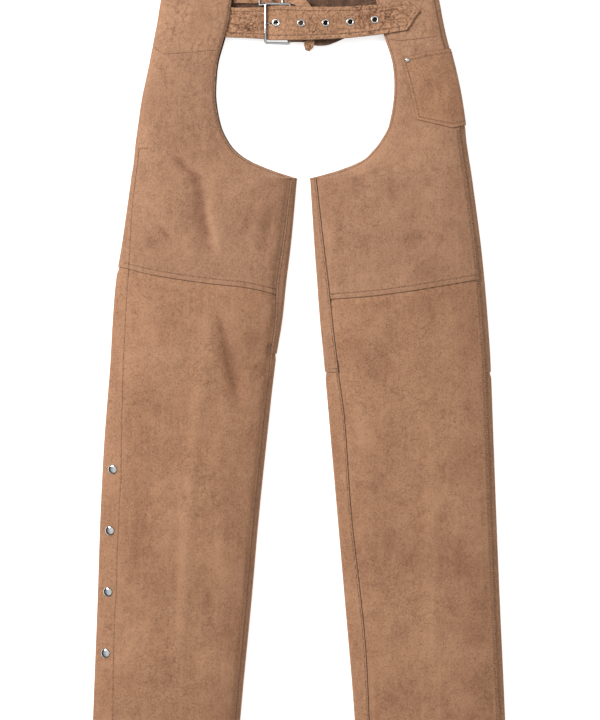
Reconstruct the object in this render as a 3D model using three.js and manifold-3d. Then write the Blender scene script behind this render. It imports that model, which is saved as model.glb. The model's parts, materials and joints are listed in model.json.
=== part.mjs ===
// Motorcycle chaps, lying flat with the front up and the belt fastened.
// Millimetres. +Z is up from the surface they lie on, +Y runs from the hems to the waist.
// The sheets are shaped round the crotch, at x = 0 and y = 0. The finished group is then moved, so that the
// origin is the middle of the underside. Right and left are the wearer's: the right leg lies at -X.

import * as THREE from "three";
import { mergeVertices } from "three/addons/utils/BufferGeometryUtils.js";
import Module from "manifold-3d";

const wasm = await Module();
wasm.setup();

// Leather
const LEATHER = 1.6;
const GAP = 0.3;
const LAP = 12;
const STEP_RUN = 10;

// Body lengths and widths
const INSEAM = 861;
const RISE = 285;
const BACK_RISE = 24;
const THIGH_WIDTH = 250;
const CUTOUT_WIDTH = 269.5;
const CROTCH_GAP = 19.5;
const LEG_SPREAD = 90;
const RIGHT_BACK_PEEK = 1.5;
const LEFT_BACK_PEEK = -1.2;
const SIDE_SEAM = 3;

// How high the legs stand as they lie, and how far the knee seam's slant spreads up and down the leg
const FOLD_HEIGHT = 9;
const CROWN = 14;
const KNEE_SPREAD = 0.13 * INSEAM;

// Side closure of the right leg
const PLACKET_WIDTH = 28;
const PLACKET_RISE = 45;
const SNAP_DIAMETER = 14.4;
const SNAP_HEIGHT = 2.6;
const SNAP_POST = 4;
const SNAP_FOOT = 1;
const SNAP_PITCH = 92;
const SNAP_FROM_EDGE = 15;
const SNAPS_FROM_HEM = 148;
const SNAP_COUNT = 4;

// Hip pocket of the left leg
const POCKET_FRONT_WIDTH = 76;
const POCKET_BACK_WIDTH = 26;
const POCKET_RISE = 105;
const POCKET_DEPTH = 92;
const POCKET_POINT = 13;
const POCKET_SLANT = 15;
const POCKET_TAPER = 6;
const RIVET_DIAMETER = 7;
const RIVET_HEIGHT = 1.8;
const RIVET_INSET = 9;

// Front belt and its buckle
const BELT_WIDTH = 50;
const BELT_THICKNESS = 2.6;
const BELT_TUCK = 40;
const BELT_TIP = 20;
const BELT_LIE = 0.6;
const EYELET_DIAMETER = 12;
const EYELET_HOLE = 6.6;
const EYELET_WALL = 0.8;
const EYELET_ROLL = 1.1;
const EYELET_PITCH = 37;
const EYELET_COUNT = 5;
const FIRST_EYELET = 16.5;
const BUCKLE_WIRE = 4;
const BUCKLE_LENGTH = 37;
const BUCKLE_HEIGHT = 59.4;
const BUCKLE_CORNER = 3;
const BUCKLE_FRONT_X = -57.3;
const HEEL_BAR_Z = 9;
const BELT_UNDER_BAR = 8.8;
const LOOP_RETURN = 20;
const PRONG_WIRE = 1.8;

// Back yoke, back strap and slider
const YOKE_DEPTH = 72;
const YOKE_LAP = 16;
const YOKE_DROOP = 4;
const GATHER_PITCH = 23;
const GATHER_HEIGHT = 3.4;
const BACK_STRAP_WIDTH = 15;
const SLIDER_LENGTH = 37.5;
const SLIDER_WIRE = 2.4;
const SLIDER_TILT = 3.5;
const SLIDER_X = -49.5;

// Each leg's outline and height below the crotch. down: share of INSEAM. inner: share of LEG_SPREAD by which
// the inner edge lies out from the crotch. width: share of THIGH_WIDTH. crown: share of CROWN.
const RIGHT_LENGTH = [
  { down: 0.0, inner: 0.0, width: 1.0, crown: 0.9 },
  { down: 0.11, inner: 0.095, width: 1.019, crown: 1.0 },
  { down: 0.18, inner: 0.177, width: 1.028, crown: 1.05 },
  { down: 0.25, inner: 0.248, width: 1.022, crown: 1.05 },
  { down: 0.32, inner: 0.357, width: 0.996, crown: 1.0 },
  { down: 0.46, inner: 0.508, width: 0.979, crown: 0.95 },
  { down: 0.6, inner: 0.645, width: 0.954, crown: 0.92 },
  { down: 0.74, inner: 0.762, width: 0.928, crown: 0.9 },
  { down: 0.88, inner: 0.892, width: 0.9, crown: 0.88 },
  { down: 1.0, inner: 0.995, width: 0.879, crown: 0.86 },
];
const LEFT_LENGTH = [
  { down: 0.0, inner: 0.0, width: 0.977, crown: 0.9 },
  { down: 0.11, inner: 0.067, width: 1.003, crown: 1.0 },
  { down: 0.18, inner: 0.117, width: 1.01, crown: 1.05 },
  { down: 0.25, inner: 0.167, width: 1.012, crown: 1.05 },
  { down: 0.32, inner: 0.233, width: 1.004, crown: 1.0 },
  { down: 0.46, inner: 0.35, width: 0.98, crown: 0.95 },
  { down: 0.6, inner: 0.467, width: 0.956, crown: 0.92 },
  { down: 0.74, inner: 0.583, width: 0.934, crown: 0.9 },
  { down: 0.88, inner: 0.7, width: 0.914, crown: 0.88 },
  { down: 1.0, inner: 0.783, width: 0.902, crown: 0.86 },
];

// Each hip above the crotch. up: share of RISE. cut: the cutout's edge from the middle line, a share of half
// CUTOUT_WIDTH. outer: share of THIGH_WIDTH from the crotch to the side. lift: share of FOLD_HEIGHT by which
// the front is off the back at the cutout. crown: share of CROWN.
const RIGHT_HIP = [
  { up: 0.0, cut: 0.072, outer: 1.0, lift: 1.0, crown: 0.9 },
  { up: 0.01, cut: 0.139, outer: 0.999, lift: 0.9, crown: 0.88 },
  { up: 0.042, cut: 0.34, outer: 0.992, lift: 0.62, crown: 0.8 },
  { up: 0.095, cut: 0.607, outer: 0.984, lift: 0.4, crown: 0.7 },
  { up: 0.147, cut: 0.763, outer: 0.978, lift: 0.34, crown: 0.62 },
  { up: 0.2, cut: 0.852, outer: 0.972, lift: 0.3, crown: 0.56 },
  { up: 0.279, cut: 0.93, outer: 0.959, lift: 0.3, crown: 0.5 },
  { up: 0.42, cut: 0.985, outer: 0.936, lift: 0.32, crown: 0.44 },
  { up: 0.52, cut: 0.982, outer: 0.912, lift: 0.45, crown: 0.4 },
  { up: 0.62, cut: 0.958, outer: 0.888, lift: 0.72, crown: 0.38 },
  { up: 0.73, cut: 0.893, outer: 0.864, lift: 1.0, crown: 0.36 },
  { up: 0.83, cut: 0.835, outer: 0.842, lift: 1.06, crown: 0.34 },
  { up: 0.93, cut: 0.805, outer: 0.824, lift: 1.08, crown: 0.32 },
  { up: 1.0, cut: 0.785, outer: 0.81, lift: 1.08, crown: 0.3 },
];
const LEFT_HIP = [
  { up: 0.0, cut: 0.072, outer: 0.977, lift: 1.0, crown: 0.9 },
  { up: 0.01, cut: 0.15, outer: 0.975, lift: 0.9, crown: 0.88 },
  { up: 0.042, cut: 0.384, outer: 0.97, lift: 0.62, crown: 0.8 },
  { up: 0.095, cut: 0.651, outer: 0.96, lift: 0.4, crown: 0.7 },
  { up: 0.147, cut: 0.774, outer: 0.951, lift: 0.34, crown: 0.62 },
  { up: 0.2, cut: 0.863, outer: 0.942, lift: 0.3, crown: 0.56 },
  { up: 0.279, cut: 0.953, outer: 0.933, lift: 0.3, crown: 0.5 },
  { up: 0.42, cut: 1.01, outer: 0.91, lift: 0.32, crown: 0.44 },
  { up: 0.52, cut: 1.015, outer: 0.888, lift: 0.45, crown: 0.4 },
  { up: 0.62, cut: 0.99, outer: 0.861, lift: 0.72, crown: 0.38 },
  { up: 0.73, cut: 0.915, outer: 0.828, lift: 1.0, crown: 0.36 },
  { up: 0.83, cut: 0.85, outer: 0.803, lift: 1.06, crown: 0.34 },
  { up: 0.93, cut: 0.815, outer: 0.782, lift: 1.08, crown: 0.32 },
  { up: 1.0, cut: 0.79, outer: 0.765, lift: 1.08, crown: 0.3 },
];

// Knee seams. across: share of the leg's width from the outer side. down: share of INSEAM.
const RIGHT_KNEE = [
  { across: 0.0, down: 0.155 },
  { across: 0.15, down: 0.166 },
  { across: 0.3, down: 0.174 },
  { across: 0.55, down: 0.184 },
  { across: 0.8, down: 0.192 },
  { across: 1.0, down: 0.205 },
];
const LEFT_KNEE = [
  { across: 0.0, down: 0.176 },
  { across: 0.25, down: 0.188 },
  { across: 0.45, down: 0.197 },
  { across: 0.7, down: 0.206 },
  { across: 1.0, down: 0.212 },
];

// Width of the back panel's strip that is turned onto the front along the inseam. down: share of INSEAM.
// strip: share of LEG_SPREAD.
const RIGHT_STRIP = [
  { down: 0.0, strip: 0.11 },
  { down: 0.18, strip: 0.16 },
  { down: 0.24, strip: 0.13 },
  { down: 0.31, strip: 0.1 },
  { down: 0.36, strip: 0.085 },
  { down: 1.0, strip: 0.08 },
];
const LEFT_STRIP = [
  { down: 0.0, strip: 0.105 },
  { down: 0.21, strip: 0.2 },
  { down: 0.34, strip: 0.226 },
  { down: 0.42, strip: 0.26 },
  { down: 0.59, strip: 0.235 },
  { down: 0.79, strip: 0.28 },
  { down: 1.0, strip: 0.22 },
];

// Main folds and creases of the fronts. across and down are the fold's two ends, as shares of the leg's width
// from the outer side and of INSEAM. depth is a share of FOLD_HEIGHT, below nothing for a dent, and width a
// share of THIGH_WIDTH.
const RIGHT_FOLDS = [
  { across: [0.37, 0.52], down: [-0.04, 0.15], depth: -0.36, width: 0.055 },
  { across: [0.45, 0.6], down: [-0.02, 0.15], depth: 0.24, width: 0.06 },
  { across: [0.88, 0.87], down: [0.05, 0.14], depth: -0.24, width: 0.05 },
  { across: [0.6, 0.86], down: [0.22, 0.42], depth: -0.26, width: 0.05 },
  { across: [0.56, 0.57], down: [0.2, 0.92], depth: 0.2, width: 0.045 },
];
const LEFT_FOLDS = [
  { across: [0.36, 0.46], down: [0.42, 0.9], depth: 0.2, width: 0.05 },
  { across: [0.3, 0.42], down: [0.03, 0.13], depth: -0.18, width: 0.08 },
  { across: [0.52, 0.72], down: [0.24, 0.36], depth: -0.18, width: 0.07 },
  { across: [0.72, 0.66], down: [0.5, 0.66], depth: -0.16, width: 0.07 },
];

const RIGHT = {
  name: "right",
  side: -1,
  length: RIGHT_LENGTH,
  hip: RIGHT_HIP,
  knee: RIGHT_KNEE,
  strip: RIGHT_STRIP,
  folds: RIGHT_FOLDS,
  kneeDown: 0.18,
  backKneeDown: 0.306,
  backPeek: RIGHT_BACK_PEEK,
  frontWrapsOuter: true,
};
const LEFT = {
  name: "left",
  side: 1,
  length: LEFT_LENGTH,
  hip: LEFT_HIP,
  knee: LEFT_KNEE,
  strip: LEFT_STRIP,
  folds: LEFT_FOLDS,
  kneeDown: 0.196,
  backKneeDown: 0.338,
  backPeek: LEFT_BACK_PEEK,
  frontWrapsOuter: false,
};

const FOLD_RADIUS = FOLD_HEIGHT / 2;
const LAYER = LEATHER + GAP;
const HALF_CUTOUT = CUTOUT_WIDTH / 2;

// Smooth values from the tables
const clamp = (value, low, high) => Math.min(Math.max(value, low), high);
const mix = (from, to, share) => from + (to - from) * share;
function ease(value, from, to) {
  const share = clamp((value - from) / (to - from), 0, 1);
  return share * share * (3 - 2 * share);
}

function slopeAt(table, key, column, index) {
  const before = table[Math.max(index - 1, 0)];
  const after = table[Math.min(index + 1, table.length - 1)];
  return (after[column] - before[column]) / (after[key] - before[key]);
}

function along(table, key, value, column) {
  const last = table.length - 1;
  const at = clamp(value, table[0][key], table[last][key]);
  let index = 0;
  while (index < last - 1 && table[index + 1][key] < at) index += 1;
  const from = table[index];
  const to = table[index + 1];
  const run = to[key] - from[key];
  const t = (at - from[key]) / run;
  const rise = to[column] - from[column];
  const startSlope = slopeAt(table, key, column, index) * run;
  const endSlope = slopeAt(table, key, column, index + 1) * run;
  const bend = t * (1 - t) * ((1 - t) * (startSlope - rise) - t * (endSlope - rise));
  return from[column] + rise * t + bend;
}

// The leg's outline at one height y, each edge as a distance from the middle line to the inside of the leather.
function outline(leg, y) {
  if (y > 0) {
    const up = y / RISE;
    const outer = CROTCH_GAP / 2 + THIGH_WIDTH * along(leg.hip, "up", up, "outer") - LEATHER;
    const inner = HALF_CUTOUT * along(leg.hip, "up", up, "cut");
    const lift = FOLD_HEIGHT * along(leg.hip, "up", up, "lift");
    return { outer, inner, lift, crown: CROWN * along(leg.hip, "up", up, "crown"), turn: 0 };
  }
  const down = -y / INSEAM;
  const edge = CROTCH_GAP / 2 + LEG_SPREAD * along(leg.length, "down", down, "inner");
  const outer = edge + THIGH_WIDTH * along(leg.length, "down", down, "width") - LEATHER;
  const crown = CROWN * along(leg.length, "down", down, "crown");
  return { outer, inner: edge + LEATHER, lift: FOLD_HEIGHT, crown, turn: FOLD_RADIUS };
}

// How far the folds raise or lower the front at a place x, y.
function foldsAt(leg, across, y) {
  let sum = 0;
  for (const fold of leg.folds) {
    const startX = fold.across[0] * THIGH_WIDTH;
    const startY = -fold.down[0] * INSEAM;
    const runX = fold.across[1] * THIGH_WIDTH - startX;
    const runY = -fold.down[1] * INSEAM - startY;
    const length = Math.hypot(runX, runY);
    const offX = across * THIGH_WIDTH - startX;
    const offY = y - startY;
    const travelled = (offX * runX + offY * runY) / length;
    const aside = (offX * runY - offY * runX) / length;
    const fade = 0.25 * length;
    const ends = ease(travelled, -STEP_RUN, fade) * ease(length - travelled, -STEP_RUN, fade);
    sum += fold.depth * FOLD_HEIGHT * ends * Math.exp(-((aside / (fold.width * THIGH_WIDTH)) ** 2));
  }
  return sum * ease(across, 0.05, 0.2) * ease(across, 0.98, 0.86);
}

// Where the pocket is turned under the left hip, it holds the leather up by its own thickness.
function pocketRaiseRows() {
  const low = RISE - POCKET_RISE - POCKET_DEPTH - POCKET_POINT - GAP;
  const high = RISE - POCKET_RISE + POCKET_SLANT + GAP;
  return [low - 2 * LAP, low, high, high + 2 * LAP];
}

function pocketRaise(leg, inward, y) {
  if (leg.frontWrapsOuter) return 0;
  const [start, low, high, end] = pocketRaiseRows();
  const inHeight = ease(y, start, low) * ease(y, end, high);
  return LAYER * inHeight * ease(inward, 3 * POCKET_BACK_WIDTH, 1.7 * POCKET_BACK_WIDTH);
}

// By how much the front's run is shorter just below the crotch, where its inner fold begins, than just above.
function crotchLoss(leg) {
  return CROTCH_GAP / 2 + LEATHER + FOLD_RADIUS - HALF_CUTOUT * leg.hip[0].cut;
}

// A place on the leg's inner face. round runs 0 to 1 over the front from the outer side to the inner side,
// 1 to 2 round the inner fold, 2 to 3 along the back to the outer side, and 3 to 4 round the outer fold.
function legSection(leg, round, y) {
  const { outer, inner, lift, crown, turn } = outline(leg, y);
  const width = outer - inner;
  const turned = ((round % 4) + 4) % 4;
  const middle = LEATHER + FOLD_RADIUS;
  let inward;
  let z;
  let normalIn;
  let normalUp;
  if (turned <= 1) {
    const run = width - FOLD_RADIUS - turn;
    const shorter = y > 0 ? crotchLoss(leg) * (1 - ease(y, 0, 2 * STEP_RUN)) : 0;
    inward = FOLD_RADIUS + run * turned;
    const height = (place) => {
      const share = Math.min((place * run) / (run - shorter), 1);
      const arch = 1 - (2 * share - 1) ** 4;
      return LEATHER + mix(FOLD_HEIGHT, lift, share) + crown * arch + foldsAt(leg, share, y);
    };
    z = height(turned);
    const tilt = (height(turned + 0.01) - height(turned - 0.01)) / (0.02 * run);
    normalIn = turned > 0.001 && turned < 0.999 ? -tilt : 0;
    normalUp = 1;
  } else if (turned < 2) {
    const angle = (turned - 1) * Math.PI;
    inward = width - turn + turn * Math.sin(angle);
    z = middle + FOLD_RADIUS * Math.cos(angle);
    normalIn = Math.sin(angle);
    normalUp = Math.cos(angle);
  } else if (turned <= 3) {
    const cutEdge = turn > 0 ? width - turn : width + leg.backPeek;
    inward = mix(cutEdge, FOLD_RADIUS, turned - 2);
    z = LEATHER;
    normalIn = 0;
    normalUp = -1;
  } else {
    const angle = (turned - 3) * Math.PI;
    inward = FOLD_RADIUS - FOLD_RADIUS * Math.sin(angle);
    z = middle - FOLD_RADIUS * Math.cos(angle);
    normalIn = -Math.sin(angle);
    normalUp = -Math.cos(angle);
  }
  const size = Math.hypot(normalIn, normalUp);
  return {
    x: leg.side * (outer - inward),
    z: z + pocketRaise(leg, inward, y),
    normalX: (-leg.side * normalIn) / size,
    normalZ: normalUp / size,
  };
}

// Share of the leg's width from the outer side, for a place round the leg.
function acrossOf(round) {
  const turned = ((round % 4) + 4) % 4;
  if (turned <= 1) return turned;
  if (turned < 2) return 1;
  if (turned <= 3) return 3 - turned;
  return 0;
}

// Rows follow the knee seam near the knee, and rise to the middle of the back at the waist.
function rowHeight(leg, row, round, isBack) {
  const across = acrossOf(round);
  const knee = -leg.kneeDown * INSEAM;
  const nearKnee = ease(Math.abs(row - knee), KNEE_SPREAD, 2 * STEP_RUN);
  const seam = -INSEAM * along(leg.knee, "across", across, "down");
  const onBack = isBack && round >= 2 && round <= 3;
  const backLift = onBack ? BACK_RISE * across * ease(row, 0.6 * RISE, RISE) : 0;
  return row + nearKnee * (seam - knee) + backLift;
}

// How far a margin lies under a seam's upper piece, from 0 to 1, over the lap above the seam line.
function lapped(row, seam) {
  return ease(row, seam - STEP_RUN, seam) * ease(row, seam + LAP + STEP_RUN, seam + LAP);
}

// A closed leather sheet over a lattice. place gives the two faces of a corner, and keep the cells that are
// part of the sheet.
function sheetGeometry(rowCount, columnCount, place, keep = () => true) {
  const positions = [];
  const index = [];
  const corner = (row, column, face) => 2 * (row * columnCount + column) + face;
  for (let row = 0; row < rowCount; row += 1) {
    for (let column = 0; column < columnCount; column += 1) {
      const { inside, outside } = place(row, column);
      positions.push(...inside, ...outside);
    }
  }
  const present = (row, column) =>
    row >= 0 && column >= 0 && row < rowCount - 1 && column < columnCount - 1 && keep(row, column);
  const quad = (a, b, c, d) => index.push(a, b, c, a, c, d);
  for (let row = 0; row < rowCount - 1; row += 1) {
    for (let column = 0; column < columnCount - 1; column += 1) {
      if (!present(row, column)) continue;
      const ring = [
        [row, column],
        [row, column + 1],
        [row + 1, column + 1],
        [row + 1, column],
      ];
      const neighbours = [
        [row - 1, column],
        [row, column + 1],
        [row + 1, column],
        [row, column - 1],
      ];
      const outer = ring.map(([r, c]) => corner(r, c, 1));
      const inner = ring.map(([r, c]) => corner(r, c, 0));
      quad(...outer);
      quad(inner[0], inner[3], inner[2], inner[1]);
      neighbours.forEach(([r, c], side) => {
        if (present(r, c)) return;
        const next = (side + 1) % 4;
        quad(inner[side], inner[next], outer[next], outer[side]);
      });
    }
  }
  return closedGeometry(positions, index);
}

// A geometry whose faces point out, whichever way round its corners were given.
function closedGeometry(positions, index) {
  let volume = 0;
  const at = (corner) => new THREE.Vector3().fromArray(positions, 3 * corner);
  for (let face = 0; face < index.length; face += 3) {
    const [a, b, c] = [at(index[face]), at(index[face + 1]), at(index[face + 2])];
    volume += a.dot(b.cross(c));
  }
  if (volume < 0) index.reverse();
  const used = new THREE.BufferGeometry();
  used.setAttribute("position", new THREE.Float32BufferAttribute(positions, 3));
  used.setIndex(index);
  const flat = used.toNonIndexed();
  flat.computeVertexNormals();
  return flat;
}

function toSolid(geometry) {
  const bare = new THREE.BufferGeometry();
  bare.setAttribute("position", geometry.getAttribute("position"));
  if (geometry.index) bare.setIndex(geometry.index);
  const merged = mergeVertices(bare, 1e-4);
  const vertProperties = new Float32Array(merged.getAttribute("position").array);
  const triVerts = new Uint32Array(merged.index.array);
  return new wasm.Manifold(new wasm.Mesh({ numProp: 3, vertProperties, triVerts }));
}

function cutFrom(geometry, cutters) {
  let solid = toSolid(geometry);
  for (const cutter of cutters) solid = solid.subtract(toSolid(cutter));
  const mesh = solid.getMesh();
  const positions = [];
  for (let vertex = 0; vertex < mesh.vertProperties.length; vertex += mesh.numProp) {
    positions.push(...mesh.vertProperties.slice(vertex, vertex + 3));
  }
  return closedGeometry(positions, Array.from(mesh.triVerts));
}

// Materials
const leatherLook = new THREE.MeshStandardMaterial({ color: 0xab8164, roughness: 0.85, metalness: 0 });
const shinLook = new THREE.MeshStandardMaterial({ color: 0xa57b5f, roughness: 0.85, metalness: 0 });
const beltLook = new THREE.MeshStandardMaterial({ color: 0xac8369, roughness: 0.8, metalness: 0 });
const chromeLook = new THREE.MeshStandardMaterial({ color: 0xd9dadc, roughness: 0.15, metalness: 1 });
const nickelLook = new THREE.MeshStandardMaterial({ color: 0xc9c9c6, roughness: 0.25, metalness: 1 });

const chaps = new THREE.Group();

function addPiece(name, geometry, material) {
  const mesh = new THREE.Mesh(geometry, material.clone());
  mesh.name = name;
  chaps.add(mesh);
  return mesh;
}

// The rows of a leg's lattice, as heights y, from the hem to the waist. Rows at seams and pieces come first,
// and the rows between keep clear of them.
function legRows(leg) {
  const knee = -leg.kneeDown * INSEAM;
  const backKnee = -leg.backKneeDown * INSEAM;
  const seamRows = (seam) => [seam - STEP_RUN, seam, seam + LAP, seam + LAP + STEP_RUN];
  const ends = [-INSEAM, 0, leg.hip[1].up * RISE, RISE];
  const onPieces = leg.frontWrapsOuter ? [PLACKET_RISE] : pocketRaiseRows();
  const set = [...ends, ...seamRows(backKnee), ...seamRows(knee), ...onPieces];
  const below = BETWEEN_ROWS.map((share) => -share * INSEAM);
  const above = leg.hip.map((station) => station.up * RISE);
  const isClear = (row) => set.every((fixed) => Math.abs(row - fixed) > 0.7 * STEP_RUN);
  const free = [...below, ...above].filter(isClear);
  return [...set, ...free].sort((a, b) => a - b);
}

// Rows between the seams, as shares of INSEAM below the crotch. Columns inside the front, round a fold, and
// along the back, as shares of their widths.
const BETWEEN_ROWS = [0.88, 0.76, 0.64, 0.52, 0.42, 0.11, 0.055];
const INTERIOR = [0.23, 0.34, 0.45, 0.56, 0.67, 0.78, 0.89];
const QUARTERS = [0.25, 0.5, 0.75];
const ALONG_BACK = [0, 0.35, 0.7];

// Where the strip's edge lies round the leg, and how far one millimetre goes there.
function stripEdge(leg, y) {
  const { outer, inner, turn } = outline(leg, y);
  const run = outer - inner - FOLD_RADIUS - turn;
  const strip = LEG_SPREAD * along(leg.strip, "down", -y / INSEAM, "strip");
  return { edge: 1 - Math.max(strip - LEATHER - turn, 1) / run, millimetre: 1 / run };
}

// The places round the leg of the front's columns at height y, and how far each one lies in under a neighbour.
function frontColumns(leg, y, row) {
  const { edge, millimetre } = stripEdge(leg, y);
  const backSeam = lapped(row, -leg.backKneeDown * INSEAM);
  const end = y > 0 ? 1 : 1 - millimetre;
  const reach = y > 0 ? 1 : edge;
  const tuck = y > 0 ? 0 : 1 + backSeam;
  const stepStart = reach - STEP_RUN * millimetre;
  const atSide = leg.frontWrapsOuter ? placketRounds(millimetre) : sideSeamRounds(millimetre);
  const inside = [...atSide, ...INTERIOR.map((share) => share * stepStart)];
  const innerMargin = [
    { round: stepStart, under: 0 },
    { round: y > 0 ? mix(stepStart, 1, 0.5) : edge, under: tuck },
    { round: end, under: tuck },
  ];
  const outerMargin = [
    { round: -1 - LAP * millimetre, under: 1 + backSeam },
    { round: -1, under: 1 + backSeam },
    { round: -0.75, under: 0.6 * (1 + backSeam) },
    { round: -0.5, under: 0 },
    { round: -0.25, under: 0 },
  ];
  const columns = [...inside.map((round) => ({ round, under: 0 })), ...innerMargin];
  return leg.frontWrapsOuter ? [...outerMargin, ...columns] : columns;
}

// The placket's edge and middle, and the left front's own edge with the end of the back's margin under it.
function placketRounds(millimetre) {
  const run = (PLACKET_WIDTH - FOLD_RADIUS) * millimetre;
  return [0, 0.5 * run, run];
}

function sideSeamRounds(millimetre) {
  return [SIDE_SEAM * millimetre, (SIDE_SEAM + LAP) * millimetre];
}

// The places of the back's columns: from the strip's edge round the inner fold, along the back, and on the left
// leg round the outer fold and in under the front.
function backColumns(leg, y, row) {
  const { edge } = stripEdge(leg, Math.min(y, 0));
  const { millimetre } = stripEdge(leg, y);
  const frontSeam = lapped(row, -leg.kneeDown * INSEAM);
  const columns = [
    { round: edge, under: 0 },
    { round: 1, under: 0 },
    ...QUARTERS.map((share) => ({ round: 1 + share, under: 0 })),
    ...ALONG_BACK.map((share) => ({ round: 2 + share, under: 0 })),
  ];
  if (leg.frontWrapsOuter) return [...columns, { round: 3 - millimetre, under: 0 }];
  const margin = 1 + frontSeam;
  return [
    ...columns,
    { round: 3, under: 0 },
    ...QUARTERS.map((share) => ({ round: 3 + share, under: share === 0.75 ? 0.6 * margin : 0 })),
    { round: 4, under: margin },
    { round: 4 + (SIDE_SEAM + LAP) * millimetre, under: margin },
  ];
}

// The two faces of a leg's sheet at a place, with the inner face raised by layer.
function legFaces(leg, round, y, layer, thickness = LEATHER) {
  const place = legSection(leg, round, y);
  const face = (height) => [place.x + place.normalX * height, y, place.z + place.normalZ * height];
  return { inside: face(layer), outside: face(layer + thickness) };
}

function legPanel(leg, { from, to, isBack, seam }) {
  const rows = legRows(leg).filter((row) => row >= from - 0.01 && row <= to + 0.01);
  const columnsAt = isBack ? backColumns : frontColumns;
  const count = columnsAt(leg, -INSEAM, -INSEAM).length;
  const place = (rowIndex, column) => {
    const row = rows[rowIndex];
    const rough = columnsAt(leg, row, row)[column];
    const y = rowHeight(leg, row, rough.round, isBack);
    const { round, under } = columnsAt(leg, row > 0 ? y : Math.min(y, 0), row)[column];
    const seamTuck = seam === undefined ? 0 : lapped(row, seam);
    return legFaces(leg, round, y, -LAYER * (under + seamTuck));
  };
  const foldCells = 2 + QUARTERS.length;
  const keep = (rowIndex, column) => !(isBack && rows[rowIndex] > -0.01 && column < foldCells);
  return sheetGeometry(rows.length, count, place, keep);
}

function addLeg(leg) {
  const knee = -leg.kneeDown * INSEAM;
  const backKnee = -leg.backKneeDown * INSEAM;
  const fronts = { isBack: false };
  const backs = { isBack: true };
  const frontThigh = legPanel(leg, { ...fronts, from: knee, to: RISE });
  const frontShin = legPanel(leg, { ...fronts, from: -INSEAM, to: knee + LAP, seam: knee });
  const backThigh = legPanel(leg, { ...backs, from: backKnee, to: RISE });
  const backShin = legPanel(leg, { ...backs, from: -INSEAM, to: backKnee + LAP, seam: backKnee });
  return { frontThigh, frontShin, backThigh, backShin };
}

// Side closure: an inner placket under the right front's outer margin, and snaps through both.
function placketGeometry(leg) {
  const rows = legRows(leg).filter((row) => row <= PLACKET_RISE);
  const knee = -leg.kneeDown * INSEAM;
  const columnCount = 4;
  return sheetGeometry(rows.length, columnCount, (rowIndex, column) => {
    const row = rows[rowIndex];
    const roundsAt = (y) => [-0.25, ...placketRounds(stripEdge(leg, y).millimetre)];
    const y = rowHeight(leg, row, roundsAt(row)[column], false);
    return legFaces(leg, roundsAt(y)[column], y, -LAYER * (1 + lapped(row, knee)));
  });
}

// A turned piece on its own axis, from profile points of radius and height.
function turned(profile, sides) {
  const points = profile.map(([radius, height]) => new THREE.Vector2(radius, height));
  const lathe = new THREE.LatheGeometry(points, sides);
  const upright = lathe.rotateX(Math.PI / 2);
  const position = upright.getAttribute("position");
  const merged = mergeVertices(
    new THREE.BufferGeometry().setAttribute("position", position).setIndex(upright.index),
    1e-4,
  );
  const kept = [];
  const index = Array.from(merged.index.array);
  for (let face = 0; face < index.length; face += 3) {
    const [a, b, c] = index.slice(face, face + 3);
    if (a !== b && b !== c && c !== a) kept.push(a, b, c);
  }
  return closedGeometry(Array.from(merged.getAttribute("position").array), kept);
}

// Stands a turned piece on a surface, with its axis along the surface's normal.
function seat(geometry, point, normal) {
  const turn = new THREE.Quaternion().setFromUnitVectors(new THREE.Vector3(0, 0, 1), normal);
  return geometry.applyQuaternion(turn).translate(point.x, point.y, point.z);
}

function legSpot(leg, fromEdge, y, layer) {
  const { outer, inner, turn } = outline(leg, y);
  const round = (fromEdge - FOLD_RADIUS) / (outer - inner - FOLD_RADIUS - turn);
  const place = legSection(leg, round, y);
  const normal = new THREE.Vector3(place.normalX, 0, place.normalZ);
  const point = new THREE.Vector3(place.x, y, place.z).addScaledVector(normal, layer);
  return { point, normal };
}

// Domes of caps. radius and height: shares of the cap's own radius and height.
const SNAP_DOME = [
  { radius: 0, height: 1 },
  { radius: 0.5, height: 0.9 },
  { radius: 0.85, height: 0.6 },
  { radius: 1, height: 0.2 },
  { radius: 0.95, height: 0 },
];
const RIVET_DOME = [
  { radius: 0, height: 1 },
  { radius: 0.6, height: 0.85 },
  { radius: 1, height: 0.3 },
  { radius: 0.95, height: 0 },
];
const CAP_SIDES = 12;

function domeProfile(dome, diameter, height) {
  return dome.map((station) => [(station.radius * diameter) / 2, station.height * height + GAP]);
}

// A snap's cap lies on the front, its post goes through the front and the placket, and its foot is inside.
function snapGeometry() {
  const post = SNAP_POST / 2;
  const footRim = 0.3 * SNAP_DIAMETER;
  const foot = -LAYER - LEATHER - GAP;
  const dome = domeProfile(SNAP_DOME, SNAP_DIAMETER, SNAP_HEIGHT);
  const stem = [[post, GAP], [post, foot]];
  const end = [[footRim, foot], [footRim, foot - SNAP_FOOT], [0, foot - SNAP_FOOT]];
  return turned([...dome, ...stem, ...end], CAP_SIDES);
}

function rivetGeometry() {
  return turned([...domeProfile(RIVET_DOME, RIVET_DIAMETER, RIVET_HEIGHT), [0, GAP]], CAP_SIDES);
}

function holeCutter(radius, low, high, sides) {
  return turned([[0, high], [radius, high], [radius, low], [0, low]], sides);
}

// The pocket lies on the left front and is turned round the hip's outer fold onto the back. The rivet is seated
// on one of its corners, at RIVET_ROW of its height.
const RIVET_ROW = 0.95;
const RIVET_GIRTH = POCKET_FRONT_WIDTH - FOLD_RADIUS - RIVET_INSET;
const POCKET_ROWS = [0, 0.24, 0.48, 0.72, RIVET_ROW, 1];
const POCKET_COLUMNS = [0.72, 0.48, 0.26, 0.09];

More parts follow.
